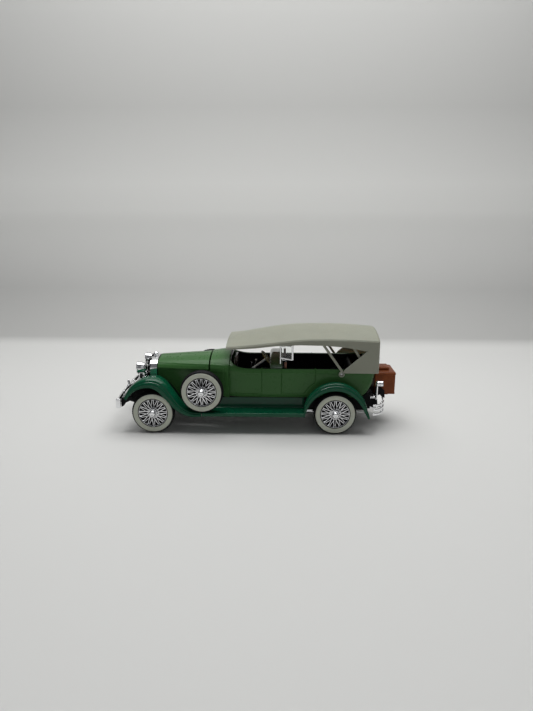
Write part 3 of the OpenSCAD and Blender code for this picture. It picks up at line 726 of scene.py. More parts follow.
def arch_grid(stations, low_z, rows, extra=None):
    """A closed arch from the left lower edge over the crown to the right, along the stations."""
    x = np.array(stations)[:, None]
    side = np.linspace(low_z, SHOULDER, rows[0])[:-1]
    a = np.linspace(0, math.pi, rows[1])
    w, top = half_width(x), crown_height(x)
    arch_y, arch_z = arch(w, SHOULDER, top, a[None])
    left = w - tuck(side)[None] if low_z < 30 else w + 0 * side[None]
    y = np.concatenate([left, arch_y, -left[:, ::-1]], 1)
    z = np.concatenate([np.tile(side, (len(x), 1)), arch_z, np.tile(side[::-1], (len(x), 1))], 1)
    p = np.stack([x + 0 * y, y, z], -1)
    return p if extra is None else p + normals(p) * extra(p)[..., None]


def hood_beads(p):
    """Raised hinge bead along the hood's crown and a crease along each shoulder, as a height."""
    shoulder_line = 0.2 * pulse(p[..., 2] - CREASE, 0.45)
    lower_line = 0.16 * pulse(p[..., 2] - HOOD_LOW - 0.3, 0.4)
    centre_line = 0.2 * pulse(p[..., 1], 0.42)
    return -(shoulder_line + lower_line + centre_line)


def build_body(look, m):
    """Open body, cowl and lamp sockets.

    Both shells are grids given a wall. The cowl's relief is its door line less a crease and the belt
    bead, each a smooth pulse of place or height. A socket is turned about the cowl's outward direction.
    """
    shape = join(shell(body_grid(), WALL),
                 rounded_box((-63, -17.4, BODY_LOW + 0.1), (16, 17.4, BODY_LOW + 1.1), 2, 0.2))
    piece("body_sides", shape, m.body, replaces=["body_tub"])

    door_front = DOORS[0][0]
    stations = np.concatenate([np.linspace(OPENING_FRONT, 19.3, 5)[:-1],
                               door_front + np.linspace(-0.5, 0.5, 11),
                               np.linspace(20.8, COWL_FRONT - 0.3, 12), [COWL_FRONT - 0.1, COWL_FRONT]])

    def cowl_relief(p):
        upright = ease((p[..., 2] - SILL + 0.25) / 0.2)
        line = pulse(p[..., 0] - door_front, 0.4) * upright * ease((37.8 - p[..., 2]) / 0.3)
        crease = 0.2 * pulse(p[..., 2] - CREASE, 0.45) * ease((p[..., 0] - 17) / 8)
        return 0.45 * line - crease - belt_bead(p[..., 2]) * ease((p[..., 0] - 12) / 6) * 0.6

    outline = arch_grid([COWL_FRONT], BODY_LOW, (10, 61))[0]
    firewall = pillow(np.stack([outline[:, 1] * 0.96, outline[:, 2] - 0.6], 1), COWL_FRONT - 1.6,
                      COWL_FRONT - 0.3, 0.2, "yz")
    cowl = join(shell(arch_grid(stations, BODY_LOW, (50, 121), cowl_relief), WALL), firewall)
    piece("cowl_panel", cowl, m.body, replaces=["cowl"])

    x, y = 18.7, 12.0
    w, top = half_width(x), crown_height(x)
    a = np.arccos((y / w) ** (1 / ROUND))
    z = float(arch(w, SHOULDER, top, a)[1])
    out = np.array([0, 0.62, 0.78])
    socket = lathe([(0, -0.4), (0.4, -0.4), (0.42, 0.0), (0.62, 0.06), (0.72, -0.02), (0.72, -0.5),
                    (0, -0.6)],
                   np.array([x, y, z]) - out * 0.02, out, 24)
    piece("cowl_lamp_sockets", pair(socket), m.black)


def build_hood(look, m):
    """Hood and its fixed side panels.

    The hood is the closed arch with its beads added. A side panel stands at the body's half-width,
    upright in Z, and two low ridges are added to it.
    """
    stations = np.linspace(HOOD_REAR, HOOD_FRONT, 46)
    hood = shell(arch_grid(stations, HOOD_LOW, (2, 181), hood_beads), 0.8)
    piece("hood_lid", hood, m.body, body="hood", replaces=["hood"])

    x = np.linspace(COWL_FRONT + 0.05, HOOD_FRONT, 90)[:, None]
    z = np.linspace(low("hood_sides")[2], high("hood_sides")[2], 50)[None]
    ridge = 0.16 * pulse(z - 35.4, 0.5) + 0.12 * pulse(x - 59.8, 0.4)
    skin = np.stack([x + 0 * z, half_width(x) - 0.05 + ridge - 0 * z, z + 0 * x], -1)
    piece("hood_side_panels", pair(shell(skin, -1.1)), m.body, replaces=["hood_sides"])

    for node in ("hood_hinge_leaf", "hood_hinge_pin"):
        refinish(node, m.steel)
    refinish("engine_block", m.engine)


# ---------------------------------------------------------------- fenders and boards

FRONT_PATH = [(33, 13.3), (39, 14), (44.1, 17.1), (49.9, 25.1), (54.4, 30.7), (59, 33.4),
              (62.8, 33.9), (66.7, 33.3), (70.9, 31.6), (75.7, 27.6), (79.2, 22.1)]


def fender(path, inner, drop, outer, thickness=0.8):
    """A crowned fender: its section, from the inner edge over the crown to the lip, along a side view.

    path is (x, z) points, inner the inner edge's Y at each, and drop how far the lip hangs below.
    """
    d = np.gradient(path, axis=0)
    d /= np.linalg.norm(d, axis=1, keepdims=True)
    out = np.stack([-d[:, 1], d[:, 0]], 1)
    v = np.linspace(0, 1, 44)
    across = smooth(v, [(0, 0), (0.3, 0.45), (0.55, 0.78), (0.7, 0.93), (0.82, 0.985), (1, 1)])
    hang = smooth(v,
                  [(0, 0.42), (0.12, 0.25), (0.3, 0.06), (0.48, 0.0), (0.62, 0.1), (0.72, 0.3), (0.82, 0.55),
                   (1, 1)])
    crease = 0.3 * pulse(v - 0.745, 0.045)
    y = inner[:, None] + (outer - inner[:, None]) * across[None] - crease
    h = -drop[:, None] * hang[None] - 0.5 * crease
    p = np.stack([path[:, 0, None] + out[:, 0, None] * h, y, path[:, 1, None] + out[:, 1, None] * h], -1)
    bead = tube(p[:, -1] - np.array([0, 0.25, 0]), 0.34, 8, up=(0, 1, 0))
    return join(shell(p, thickness), bead)


def build_fenders(look, m):
    """Front and rear fenders.

    The front side view is a smooth path, and the rear one an arc whose radius drifts with its angle.
    The lip hangs lowest in the middle of the path, by a power of a sine.
    """
    path = curve(FRONT_PATH, 110)
    s = np.linspace(0, 1, len(path))
    inner = smooth(path[:, 0], [(33, 15.2), (48, 13.6), (61, 11.0), (79, 15.0)])
    front = fender(path, inner, 2.1 + 3.5 * np.sin(math.pi * s) ** 1.3, BOARD_OUT)

    a = np.linspace(186, 2, 80)
    centre = (REAR_WHEEL[0], REAR_WHEEL[2] - 0.1)
    radius = smooth(a, [(2, 19.0), (90, 19.45), (160, 19.1), (172, 19.3), (186, 20.9)])
    turn = np.radians(a)
    path = np.stack([centre[0] + radius * np.cos(turn), centre[1] + radius * np.sin(turn)], 1)
    s = np.linspace(0, 1, len(path))
    rear = fender(path, np.full(len(path), BODY_W + 0.1), 1.0 + 3.3 * np.sin(math.pi * s) ** 0.8, BOARD_OUT)
    for name, shape in (("front", front), ("rear", rear)):
        for side in ("left", "right"):
            part = shape if side == "left" else mirrored(shape)
            piece(f"{name}_fender_{side}", part, m.fender,
                  replaces=[f"{name}_{side}_fender"])


def build_boards(look, m):
    """Running boards with their aprons and step plates.

    A board is one cross section carried along X. A step plate's height rises near its rim and dips in
    eleven cosine ribs.
    """
    x0, x1 = low("left_running_board")[0] - 1.8, high("left_running_board")[0]
    top, under = 13.4, 11.1
    section = np.concatenate([
        [(BOARD_IN + 1, 20.4)],
        arc((BOARD_IN + 1.9, top + 0.9), 0.9, 180, 270, 6),
        arc((BOARD_OUT - 0.7, top - 0.7), 0.7, 90, 0, 6),
        arc((BOARD_OUT - 0.4, under + 0.4), 0.4, 0, -90, 4),
        [(BOARD_IN, under), (BOARD_IN, 20.4)],
    ])
    along = np.concatenate([[x0, x0 + 0.15], np.linspace(x0 + 1, x1 - 1, 40), [x1 - 0.15, x1]])
    board = closed(np.stack(np.broadcast_arrays(along[:, None], section[None, :, 0], section[None, :, 1]),
                            -1))
    pads = []
    for start in (1.5, -23.0):
        u = np.linspace(0, 1, 64)[:, None]
        v = np.linspace(0, 1, 44)[None]
        edge = np.minimum(np.minimum(u, 1 - u) * 8.1, np.minimum(v, 1 - v) * 6.2)
        ribs = 0.1 * (0.5 + 0.5 * np.cos(u * 2 * math.pi * 11)) * ease((edge - 0.6) / 0.2)
        z = top - 0.05 + 0.42 * ease(edge / 0.3) - ribs
        pads.append(shell(np.stack([start + 8.1 * u + 0 * v, 19.6 + 6.2 * v + 0 * u, z], -1), 0.3))
    brackets = [rounded_box((at, 12, under + 0.2), (at + 3, 17, under + 1.8), 0.3, 0.2) for at in (-20, 8)]
    shape = join(board, *pads, *brackets)
    for side in ("left", "right"):
        piece(f"running_board_{side}", shape if side == "left" else mirrored(shape), m.fender,
              replaces=[f"{side}_running_board"])


# ---------------------------------------------------------------- wheels

def tyre_shape(centre, side):
    """Tyre ring: flat outer wall for the white ring, ribs and cross cuts on the tread, and a black disc
    behind the spokes as painted shade.
    """
    section = bevelled([(8.4, -1.6), (8.5, -2.5), (9.3, -2.7), (11.0, -2.7), (12.2, -2.35), (12.62, -1.7),
                        (12.7, -0.9), (12.7, 0.9), (12.62, 1.6), (12.3, 2.1), (11.9, 2.4),
                        (8.9, 2.5), (8.35, 2.2), (8.4, 0.5), (8.4, -1.5)], 0.5, 4)
    tread = ease((section[:, 0] - 12.35) / 0.2)
    ribs = 0.3 * np.maximum.reduce([pulse(section[:, 1] - at, 0.22) for at in (-1.15, -0.4, 0.4, 1.15)])
    section[:, 0] -= ribs * tread
    n = 216
    v, f = turned_ring(section, centre, (0, side, 0), n)
    p = v.reshape(len(section), n, 3)
    outwards = p - np.array(centre)
    outwards[..., 1] = 0
    outwards /= np.linalg.norm(outwards, axis=-1, keepdims=True)
    a = np.linspace(0, 2 * math.pi, n, endpoint=False)
    lean = np.abs(section[:, 1, None]) * 0.05
    cuts = 0.2 * ease((np.sin(54 * (a[None] + lean)) - 0.45) / 0.3)
    edge = tread * ease((np.abs(section[:, 1]) - 0.9) / 0.4)
    p = p - outwards * (cuts * edge[:, None])[..., None]
    # Painted shade: a black rubber disc behind the spokes stands in for the shade inside the wheel.
    shade_disc = lathe(bevelled([(2.3, -1.9), (8.6, -1.9), (8.6, -1.3), (2.3, -1.3), (2.3, -1.85)], 0.1, 2),
                centre, (0, side, 0), 72)
    return join((p.reshape(-1, 3), f), shade_disc)


def whitewall_shape(centre, side):
    """White ring on the tyre's outer wall, gently rounded, with a thin raised line near its inner edge."""
    r = np.linspace(8.95, 11.6, 26)
    bulge = 2.4 + 0.4 * np.sqrt(np.clip(1 - ((r - 10.37) / 1.5) ** 2, 0, 1)) + 0.05 * pulse(r - 9.4, 0.15)
    profile = np.concatenate([np.stack([r, bulge], 1), [(11.6, 2.2), (8.95, 2.2)]])
    return turned_ring(profile, centre, (0, side, 0), 120)


def wheel_shape(centre, side, spokes):
    """Plated wire wheel: turned rim, turned hub with its cap, and two sets of spokes.

    A spoke is a straight bar, thicker at its ends. It starts half a radian round the hub from where it
    meets the rim, forwards in one set and backwards in the other, so the sets cross.
    """
    axis = (0, side, 0)
    rim = turned_ring(bevelled([(7.6, -1.9), (7.8, -2.3), (8.35, -2.35), (8.35, 2.1), (8.5, 2.45),
                                (8.35, 2.6),
                                (8.15, 2.4), (8.05, 1.9), (7.85, 1.5), (7.7, 0.9), (7.6, 0.4), (7.6, -1.8)],
                               0.2, 3), centre, axis, 120)
    hub = lathe(bevelled([(0, -2.3), (2.1, -2.3), (2.3, -1.9), (1.9, -1.4), (1.7, 1.2), (2.2, 1.7),
                          (2.25, 2.4),
                          (1.8, 2.8), (1.7, 3.5), (1.95, 3.7), (2.0, 4.0), (1.8, 4.2), (1.65, 4.7),
                          (1.3, 5.0),
                          (0.7, 5.1), (0.6, 4.9), (0, 4.9)], 0.2, 3), centre, axis, 48)
    bars = []
    t = np.array([0, 0.1, 0.9, 1.0])[:, None]
    for way in (-1, 1):
        at_rim = 2 * math.pi / spokes * np.arange(spokes) + way * 0.05
        for rim_a, hub_a in zip(at_rim, at_rim + way * 0.5):
            start = np.array([2.0 * math.cos(hub_a), side * (2.05 + 0.14 * way), 2.0 * math.sin(hub_a)])
            end = np.array([7.8 * math.cos(rim_a), side * (1.1 + 0.14 * way), 7.8 * math.sin(rim_a)])
            bars.append(sweep(np.array(centre) + start + (end - start) * t, circle(0.3, 6),
                              up=(0, 1, 0), scale=(1.3, 0.95, 0.95, 1.25)))
    return join(rim, hub, *bars)


def build_wheels(look, m):
    """Tyre, wheel and white ring at both ends of each axle, on the body that turns with that axle."""
    y = FRONT_WHEEL[1] + 0.15
    for axle, at in (("front", FRONT_WHEEL), ("rear", REAR_WHEEL)):
        body = f"{axle}_wheels"
        rings = []
        for side_name, side in (("left", 1), ("right", -1)):
            centre = (at[0], side * y, TYRE_R)
            piece(f"{axle}_{side_name}_tread", tyre_shape(centre, side), m.rubber, body,
                  [f"{axle}_{side_name}_tyre"])
            piece(f"{axle}_{side_name}_wire_wheel", wheel_shape(centre, side, look.spokes), m.chrome, body,
                  [f"{axle}_{side_name}_wheel"], 50)
            rings.append(whitewall_shape(centre, side))
        piece(f"{axle}_white_rings", join(*rings), m.whitewall, body, [f"{axle}_whitewalls"])
        refinish(f"{axle}_axle", m.steel)


def build_spares(look, m):
    """The two spare wheels, the same shapes as on the road, upright in the front fenders."""
    spots = [((SPARE_X, side * 25.3, SPARE_Z), side) for side in (1, -1)]
    piece("spare_treads", join(*[tyre_shape(*s) for s in spots]), m.rubber,
          replaces=["spare_tyres"])
    piece("spare_wire_wheels", join(*[wheel_shape(*s, look.spokes) for s in spots]), m.chrome,
          replaces=["spare_wheels"], sharp=50)
    piece("spare_white_rings", join(*[whitewall_shape(*s) for s in spots]), m.whitewall,
          replaces=["spare_whitewalls"])
    refinish("spare_carriers", m.black)


# ---------------------------------------------------------------- front end

def radiator_outline(inset, n=41):
    """Radiator's outline as (y, z), from the left foot over the arched top to the right foot."""
    w = 11.4 - inset
    y, z = arch(w, 36.0, 41.4 - inset, np.linspace(0, math.pi, n))
    foot = 16 + inset
    legs = np.linspace(foot + 1.2, 35.0, 12)
    left = np.stack([np.full(12, w), legs], 1)
    corner = arc((w - 1.2, foot + 1.2), 1.2, -90, 0, 5)
    half = np.concatenate([corner[:-1], left])
    return np.concatenate([half, np.stack([y, z], 1), (half * [-1, 1])[::-1]])


def build_radiator(look, m):
    """Radiator surround, grille and cap.

    The surround is the outline at each (x, inset) of a profile, closed into a ring. The grille fills
    the arch, and its depth follows the product of two sine waves, which leaves small square cells.
    """
    profile = bevelled([(61.7, 0.0), (66.3, 0.0), (67.1, 0.5), (67.2, 1.1), (66.8, 1.7), (65.9, 1.9),
                        (61.7, 1.9)],
                       0.5, 4)
    rings = np.stack([
        place(o[:, 0], o[:, 1], x, "yz") for x, o in ((px, radiator_outline(i)) for px, i in profile)
    ], 1)
    shape = (rings.reshape(-1, 3), quads(*rings.shape[:2], True, True))
    piece("radiator_surround", shape, m.chrome, replaces=["radiator_shell"])

    y = np.linspace(-9.7, 9.7, 150)[:, None]
    t = np.linspace(0, 1, 170)[None]
    _, top = arch(9.9, 36.0, 39.8, np.arccos(np.clip(np.abs(y) / 9.9, 0, 1) ** (1 / ROUND)))
    z = 17.6 + (top - 17.6) * t
    cells = np.abs(np.sin(math.pi * y / 0.72)) * np.abs(np.sin(math.pi * z / 0.72))
    x = 65.4 - 0.4 * ease((cells - 0.35) / 0.4)
    piece("radiator_grille", shell(np.stack([x, y + 0 * z, z], -1), -2.4), m.black,
          replaces=["radiator_core"], sharp=60)

    cap = lathe(bevelled([(0, 41.0), (1.9, 41.1), (1.9, 41.6), (1.3, 41.8), (1.2, 42.2), (1.55, 42.4),
                          (1.5, 42.9),
                          (0.8, 43.3), (0.4, 43.6), (0, 43.6)], 0.25, 3), (64.3, 0, 0), (0, 0, 1), 40)
    wings = rounded_box((63.9, -1.9, 42.45), (64.7, 1.9, 42.95), 0.25, 0.15)
    piece("radiator_filler_cap", join(cap, wings), m.chrome, replaces=["radiator_cap"])


def build_lamps(look, m):
    """Headlamps, cross bar and horn: turned profiles and round bars; a glass is a turned parabola."""
    x, y, z = low("headlamps")[0], 11.1, 36.35
    bowl = bevelled([(0, 0.0), (0.7, 0.02), (1.9, 0.45), (2.9, 1.4), (3.45, 2.7), (3.65, 4.1), (3.7, 4.9),
                     (3.88, 5.0), (3.95, 5.45), (3.8, 5.85), (3.3, 5.9), (3.15, 5.4), (2.7, 4.2), (1.5, 3.3),
                     (0, 3.0)], 0.3, 4)
    bulb = [(0, 3.0), (0.35, 3.05), (0.42, 3.6), (0.3, 4.1), (0, 4.2)]
    piece("headlamp_bowls",
          pair(lathe(bowl, (x, y, z), (1, 0, 0), 56), lathe(bulb, (x, y, z), (1, 0, 0), 20)),
          m.chrome, replaces=["headlamps"])
    r = np.linspace(0, 3.25, 16)
    dome = np.concatenate([np.stack([r, 5.62 + 0.85 * (1 - (r / 3.25) ** 2)], 1),
                           np.stack([r[::-1], 5.4 + 0.8 * (1 - (r[::-1] / 3.25) ** 2)], 1)])
    piece("headlamp_glasses", pair(lathe(dome, (x, y, z), (1, 0, 0), 56)), m.glass,
          replaces=["headlamp_lenses"])

    bar_x, bar_z = 69.4, 32.2
    bow = curve([(bar_x, -y, bar_z), (bar_x + 0.5, -5, bar_z - 0.5), (bar_x + 0.5, 5, bar_z - 0.5),
                 (bar_x, y, bar_z)], 40)
    post = lathe(bevelled([(0, 30.1), (1.35, 30.1), (1.3, 30.6), (0.75, 31.0), (0.6, 32.6), (0.85, 33.2),
                           (0.85, 33.9), (0, 34.0)], 0.2, 3), (bar_x, y, 0), (0, 0, 1), 24)
    knob = lathe([(0.95 * math.sin(a), 0.95 * -math.cos(a)) for a in np.linspace(0, math.pi, 14)],
                 (bar_x + 0.3, 6.2, bar_z - 0.4), (0, 0, 1), 24)
    stay = tube(curve([(67.3, 9.7, bar_z), (68.2, 10.2, bar_z + 0.2), (bar_x, y, bar_z)], 10), 0.38)
    fork = tube([(bar_x, y, 33.6), (bar_x, y, 34.2)], 0.8, 14, up=(1, 0, 0))
    piece("lamp_cross_bar", join(tube(bow, 0.5, 12), pair(post, knob, stay, fork)), m.chrome,
          replaces=["lamp_bar"])

    horn = bevelled([(0, 0), (1.0, 0.05), (1.15, 0.3), (1.15, 1.4), (0.7, 1.8), (0.5, 2.2), (0.55, 3.0),
                     (0.9, 3.9),
                     (1.5, 4.5), (1.6, 4.7), (1.4, 4.7), (0.8, 4.0), (0, 3.2)], 0.2, 3)
    foot = tube([(69.6, 7.6, 31.2), (69.6, 7.9, 32.0)], 0.35, 10, up=(1, 0, 0))
    piece("horn_trumpet", join(lathe(horn, (68.4, 7.6, 29.9), (1, 0, 0), 32), foot), m.black,
          replaces=["horn"])


def build_front_bumper(look, m):
    """Two flat bars on one shallow bow, joined in a loop at each end, with a clamp in the middle."""
    y = np.linspace(-26.6, 26.6, 70)
    x = 83.1 - 0.9 * (np.abs(y) / 27) ** 3 - 1.0 * ease((np.abs(y) - 25.4) / 1.4)
    bars = []
    for z in (20.4, 17.1):
        path = np.stack([x - 0.1, y, np.full_like(y, z)], 1)
        bars.append(sweep(path, rounded_rect(1.1, 2.5, 0.45, 4)))
    ends = rounded_box((80.6, 26.1, 15.8), (83.4, 27.4, 21.7), 0.9, 0.3, "xz")
    clamp = rounded_box((82.2, -1.0, 15.7), (83.75, 1.0, 21.9), 0.3, 0.25, "yz")
    fin = lathe(bevelled([(0, 21.4), (0.75, 21.5), (0.6, 22.4), (0.85, 23.0), (0.8, 23.9), (0.35, 24.8),
                          (0, 24.95)],
                         0.2, 3), (82.9, 0, 0), (0, 0, 1), 24)
    plates = rounded_box((82.2, 10.5, 15.8), (83.5, 12.1, 21.7), 0.3, 0.25, "yz")
    piece("bumper_bars", join(*bars, pair(ends, plates), clamp, fin), m.chrome,
          replaces=["front_bumper"])
    refinish("frame_horns", m.black)


# ---------------------------------------------------------------- cabin

def seat_shape(x, width, back_z):
    """Bench seat: a side profile carried across the car, pinched at its channels and round ends."""
    outline = curve([(x, 23.4), (x + 0.1, 27.5), (x - 0.3, 29.4), (x - 2.5, 29.8), (x - 7.8, 29.1),
                     (x - 9.2, 30.8), (x - 10.4, back_z - 1.2), (x - 11.3, back_z), (x - 12.4, back_z - 0.9),
                     (x - 12.3, 30), (x - 12.2, 23.4)], 70)
    outline = np.concatenate([outline, [(x - 6, 22.9)]])
    y = np.concatenate([np.linspace(-1, -0.9, 7)[:-1], np.linspace(-0.9, 0.9, 110),
                        np.linspace(0.9, 1, 7)[1:]])
    ends = 1 - np.sqrt(np.clip(1 - np.clip((np.abs(y) - 0.9) / 0.1, 0, 1) ** 2, 0, 1))
    channels = 0.32 * (1 - np.abs(np.sin(math.pi * y * 5.5)) ** 0.6)
    inset = 1.4 * ends + channels
    centre = np.array([x - 7.4, 26.6])
    away = outline - centre
    reach = np.linalg.norm(away, axis=1, keepdims=True)
    p = centre + away[None] * (1 - np.minimum(inset[:, None, None] / reach[None], 0.6))
    return closed(place(p[..., 0], p[..., 1], y[:, None] * width / 2, "xz"))


def dial(x, y, z, r):
    """Round gauge: bezel with a sunk face."""
    return lathe(bevelled([(r, 0.3), (r, -0.25), (r - 0.15, -0.4), (r - 0.3, -0.3), (r - 0.35, 0.0),
                           (0, 0.0)],
                          0.08, 3), (x, y, z), (1, 0, 0), 28)


def build_cabin(look, m):
    """Liner, benches, instrument panel, levers and steering wheel.

    The liner is the body's grid set inwards, less its front. The steering wheel's rim is a circle
    around the column's axis, and its arms are bars along four of the circle's radii.
    """
    liner = body_grid(inset=WALL + 0.12, low_z=21.9, high_cut=0.5)
    keep = liner[:, 0, 0] < 14.6
    first, last = np.argmax(keep), len(liner) - np.argmax(keep[::-1])
    skin = shell(liner[first:last], 0.55)
    floor = rounded_box((-66, -17.2, 21.85), (26, 17.2, 22.5), 3, 0.2)
    wall = pillow(rounded_rect(32.2, 15.2, 0.8, 4, (0, 29.4)), -15.2, -14.3, 0.25, "yz")
    rail = tube([(-14.9, -14, 37.4), (-14.9, 14, 37.4)], 0.4)
    piece("cabin_liner", join(skin, floor, wall, rail), m.black, replaces=["interior_tub"])

    piece("front_bench", seat_shape(-1.5, 31.4, 37.1), m.seat, replaces=["front_seat"])
    piece("rear_bench", seat_shape(-46.1, 31.4, 37.3), m.seat, replaces=["rear_seat"])

    a = np.linspace(math.radians(14), math.radians(166), 41)
    y, z = arch(15.6, 36.6, 42.2, a)
    outline = np.concatenate([np.stack([y, z], 1), [(-15.4, 34.2), (0, 33.8), (15.4, 34.2)]])
    panel = pillow(outline, 13.3, 14.5, 0.3, "yz")
    gauges = [dial(13.3, gy, 38.4, gr) for gy, gr in ((-2.4, 1.1), (0, 1.1), (2.4, 1.1), (6.2, 1.5))]
    piece("instrument_panel", join(panel, *gauges), m.dark_wood, replaces=["dashboard"])

    foot, hub = np.array([18.8, 8, 23.4]), np.array([-5.4, 8, 42.0])
    axis = (hub - foot) / np.linalg.norm(hub - foot)
    reach = np.linalg.norm(hub - foot)
    column = lathe(bevelled([(0, 0), (0.7, 0.1), (0.7, reach - 12), (0.95, reach - 11.4), (0.95, reach - 9.6),
                             (0.75, reach - 9), (0.75, reach - 1.4), (0.95, reach - 1), (0.95, reach - 0.4),
                             (0, reach - 0.4)], 0.15, 3), foot, axis, 20)
    shift = tube(curve([(4.4, 1.5, 22.9), (3.9, 1.5, 30), (1.6, 1.5, 38.4)], 14), 0.33)
    ball = lathe([(0.75 * math.sin(t), -0.75 * math.cos(t)) for t in np.linspace(0, math.pi, 12)],
                 (1.6, 1.5, 38.9), (0, 0, 1), 20)
    brake = tube(curve([(6, -1.5, 22.9), (5.4, -1.5, 30), (4.4, -1.5, 36.6)], 12), 0.36)
    stalks = [tube([hub + np.array([0.5, s, 0.2]), hub + np.array([0.1, s * 3.2, 0.9])], 0.2, 8, up=(1, 0, 0))
              for s in (1, -1)]
    pedals = [rounded_box((9.2, py, 23.2), (9.9, py + 1.4, 25.6), 0.3, 0.2, "yz") for py in (5.4, 8.4)]
    piece("column_and_levers", join(column, shift, ball, brake, *stalks, *pedals), m.satin,
          replaces=["steering_column"])

    side = np.cross(axis, (0, 1, 0))
    t = np.linspace(0, 2 * math.pi, 72, endpoint=False)

    def on_wheel(r, turn, rise=0.0):
        spread = np.cos(turn)[:, None] * side + np.sin(turn)[:, None] * np.array([0, 1.0, 0])
        return hub + r * spread + rise * axis

    rim = sweep(on_wheel(5.15, t), circle(0.42, 12), up=axis, wrap=True)
    arms = []
    for at in (0.25, 0.75, 1.25, 1.75):
        turn = np.array([at * math.pi])
        line = np.concatenate([on_wheel(r, turn, d) for r, d in ((0.6, 0.1), (2.5, 0.05), (5.0, 0))])
        arms.append(sweep(line, rounded_rect(0.7, 0.35, 0.15, 3), up=axis))
    boss = lathe(bevelled([(0, -0.4), (0.9, -0.4), (0.95, 0.3), (0.5, 0.7), (0, 0.75)], 0.15, 3), hub, axis,
                 24)
    piece("steering_rim", join(rim, *arms, boss), m.olive, replaces=["steering_wheel"])


def second_cowl_grid():
    """Deck before the rear cabin: a low arch that rolls down at its front edge."""
    x = np.concatenate([np.linspace(-14.6, -9.4, 14),
                        -9.4 + 1.4 * np.sin(np.radians(np.linspace(10, 90, 9)))])
    roll = np.concatenate([np.zeros(14), 1.3 * (1 - np.cos(np.radians(np.linspace(10, 90, 9))))])[:, None]
    a = np.linspace(0, math.pi, 81)[None]
    y, z = arch(17.6 - 0 * roll, 37.6, 43.7 - roll, a)
    return np.stack([x[:, None] + 0 * y, y, z], -1)


def framed_pane(foot_x, foot_z, w, h, lean, inset=0.4):
    """A round-barred windshield frame standing across the car, and its pane."""
    outline = rounded_rect(2 * w, h, 0.9, 6, (0, h / 2))
    tilt = math.radians(lean)

    def stand(o, off=0.0):
        return np.stack([foot_x + o[:, 1] * math.sin(tilt) + off, o[:, 0],
                         foot_z + o[:, 1] * math.cos(tilt)], 1)

    bar = sweep(stand(outline), rounded_rect(0.85, 0.75, 0.3, 4), up=(1, 0, 0), wrap=True)
    inner = rounded_rect(2 * w - 2 * inset, h - 2 * inset, 0.6, 6, (0, h / 2))
    rings = np.stack([stand(inner, -0.16), stand(inner, 0.16)])
    return bar, closed(rings)


def build_windshields(look, m):
    """Both windshields with their panes, and the deck before the rear cabin: bars along short paths."""
    bar, pane = framed_pane(15.7, 44.9, 14.6, 6.4, -10)
    posts = pair(tube([(16.4, 13.0, 41.4), (15.7, 13.4, 45.0)], 0.35, 10, up=(1, 0, 0)))
    piece("front_screen_frame", join(bar, posts), m.dark_plating,
          replaces=["front_windshield_frame"])
    piece("front_screen_pane", pane, m.glass, replaces=["front_windshield_glass"])

    bar, pane = framed_pane(-13.5, 44.4, 15.9, 8.1, -1)
    post = tube([(-13.5, 16.5, 40.6), (-13.5, 16.5, 52.4)], 0.42, 10, up=(1, 0, 0))
    wing = [(-13.9, 17.2, 44.6), (-20.6, 17.2, 43.3), (-20.6, 17.2, 52.1)]
    wing_bar = join(sweep(curve(wing[:2], 6), rounded_rect(0.6, 0.9, 0.25, 4)),
                    sweep(curve(wing[1:], 6), rounded_rect(0.6, 1.1, 0.25, 4), up=(1, 0, 0)))
    stay = tube(curve([(-14.0, 16.8, 44.6), (-15.0, 16.9, 43.2), (-17.2, 17.0, 43.5), (-19.8, 17.0, 43.2)],
                      20), 0.28)
    piece("rear_screen_frame", join(bar, pair(post, wing_bar, stay)), m.chrome,
          replaces=["rear_windshield_frame"])
    side_pane = pillow([(-13.8, 44.8), (-13.8, 52.2), (-20.4, 52.2), (-20.4, 43.5)][::-1], 17.05, 17.35,
                       0.05, "xz", 2)
    piece("rear_screen_panes", join(pane, pair(side_pane)), m.glass,
          replaces=["rear_windshield_glass"])

    piece("second_cowl_deck", shell(second_cowl_grid(), 0.9), m.deck,
          replaces=["second_cowl"])
    trim = rounded_box((-17.3, 15.6, 36.6), (-15.8, 17.6, 42.0), 0.4, 0.3)
    piece("second_cowl_trim", pair(trim), m.wood)


# ---------------------------------------------------------------- top

TOP_PATH = [(18.4, 51.6), (17.5, 52.3), (15.4, 53.25), (11.5, 54.6), (5.3, 56.3), (-0.8, 57.6),
            (-10.1, 59.3), (-19.3, 60.4),
            (-31.6, 60.98), (-43.8, 60.98), (-56.1, 60.5), (-63, 60.0), (-70.0, 59.3)]


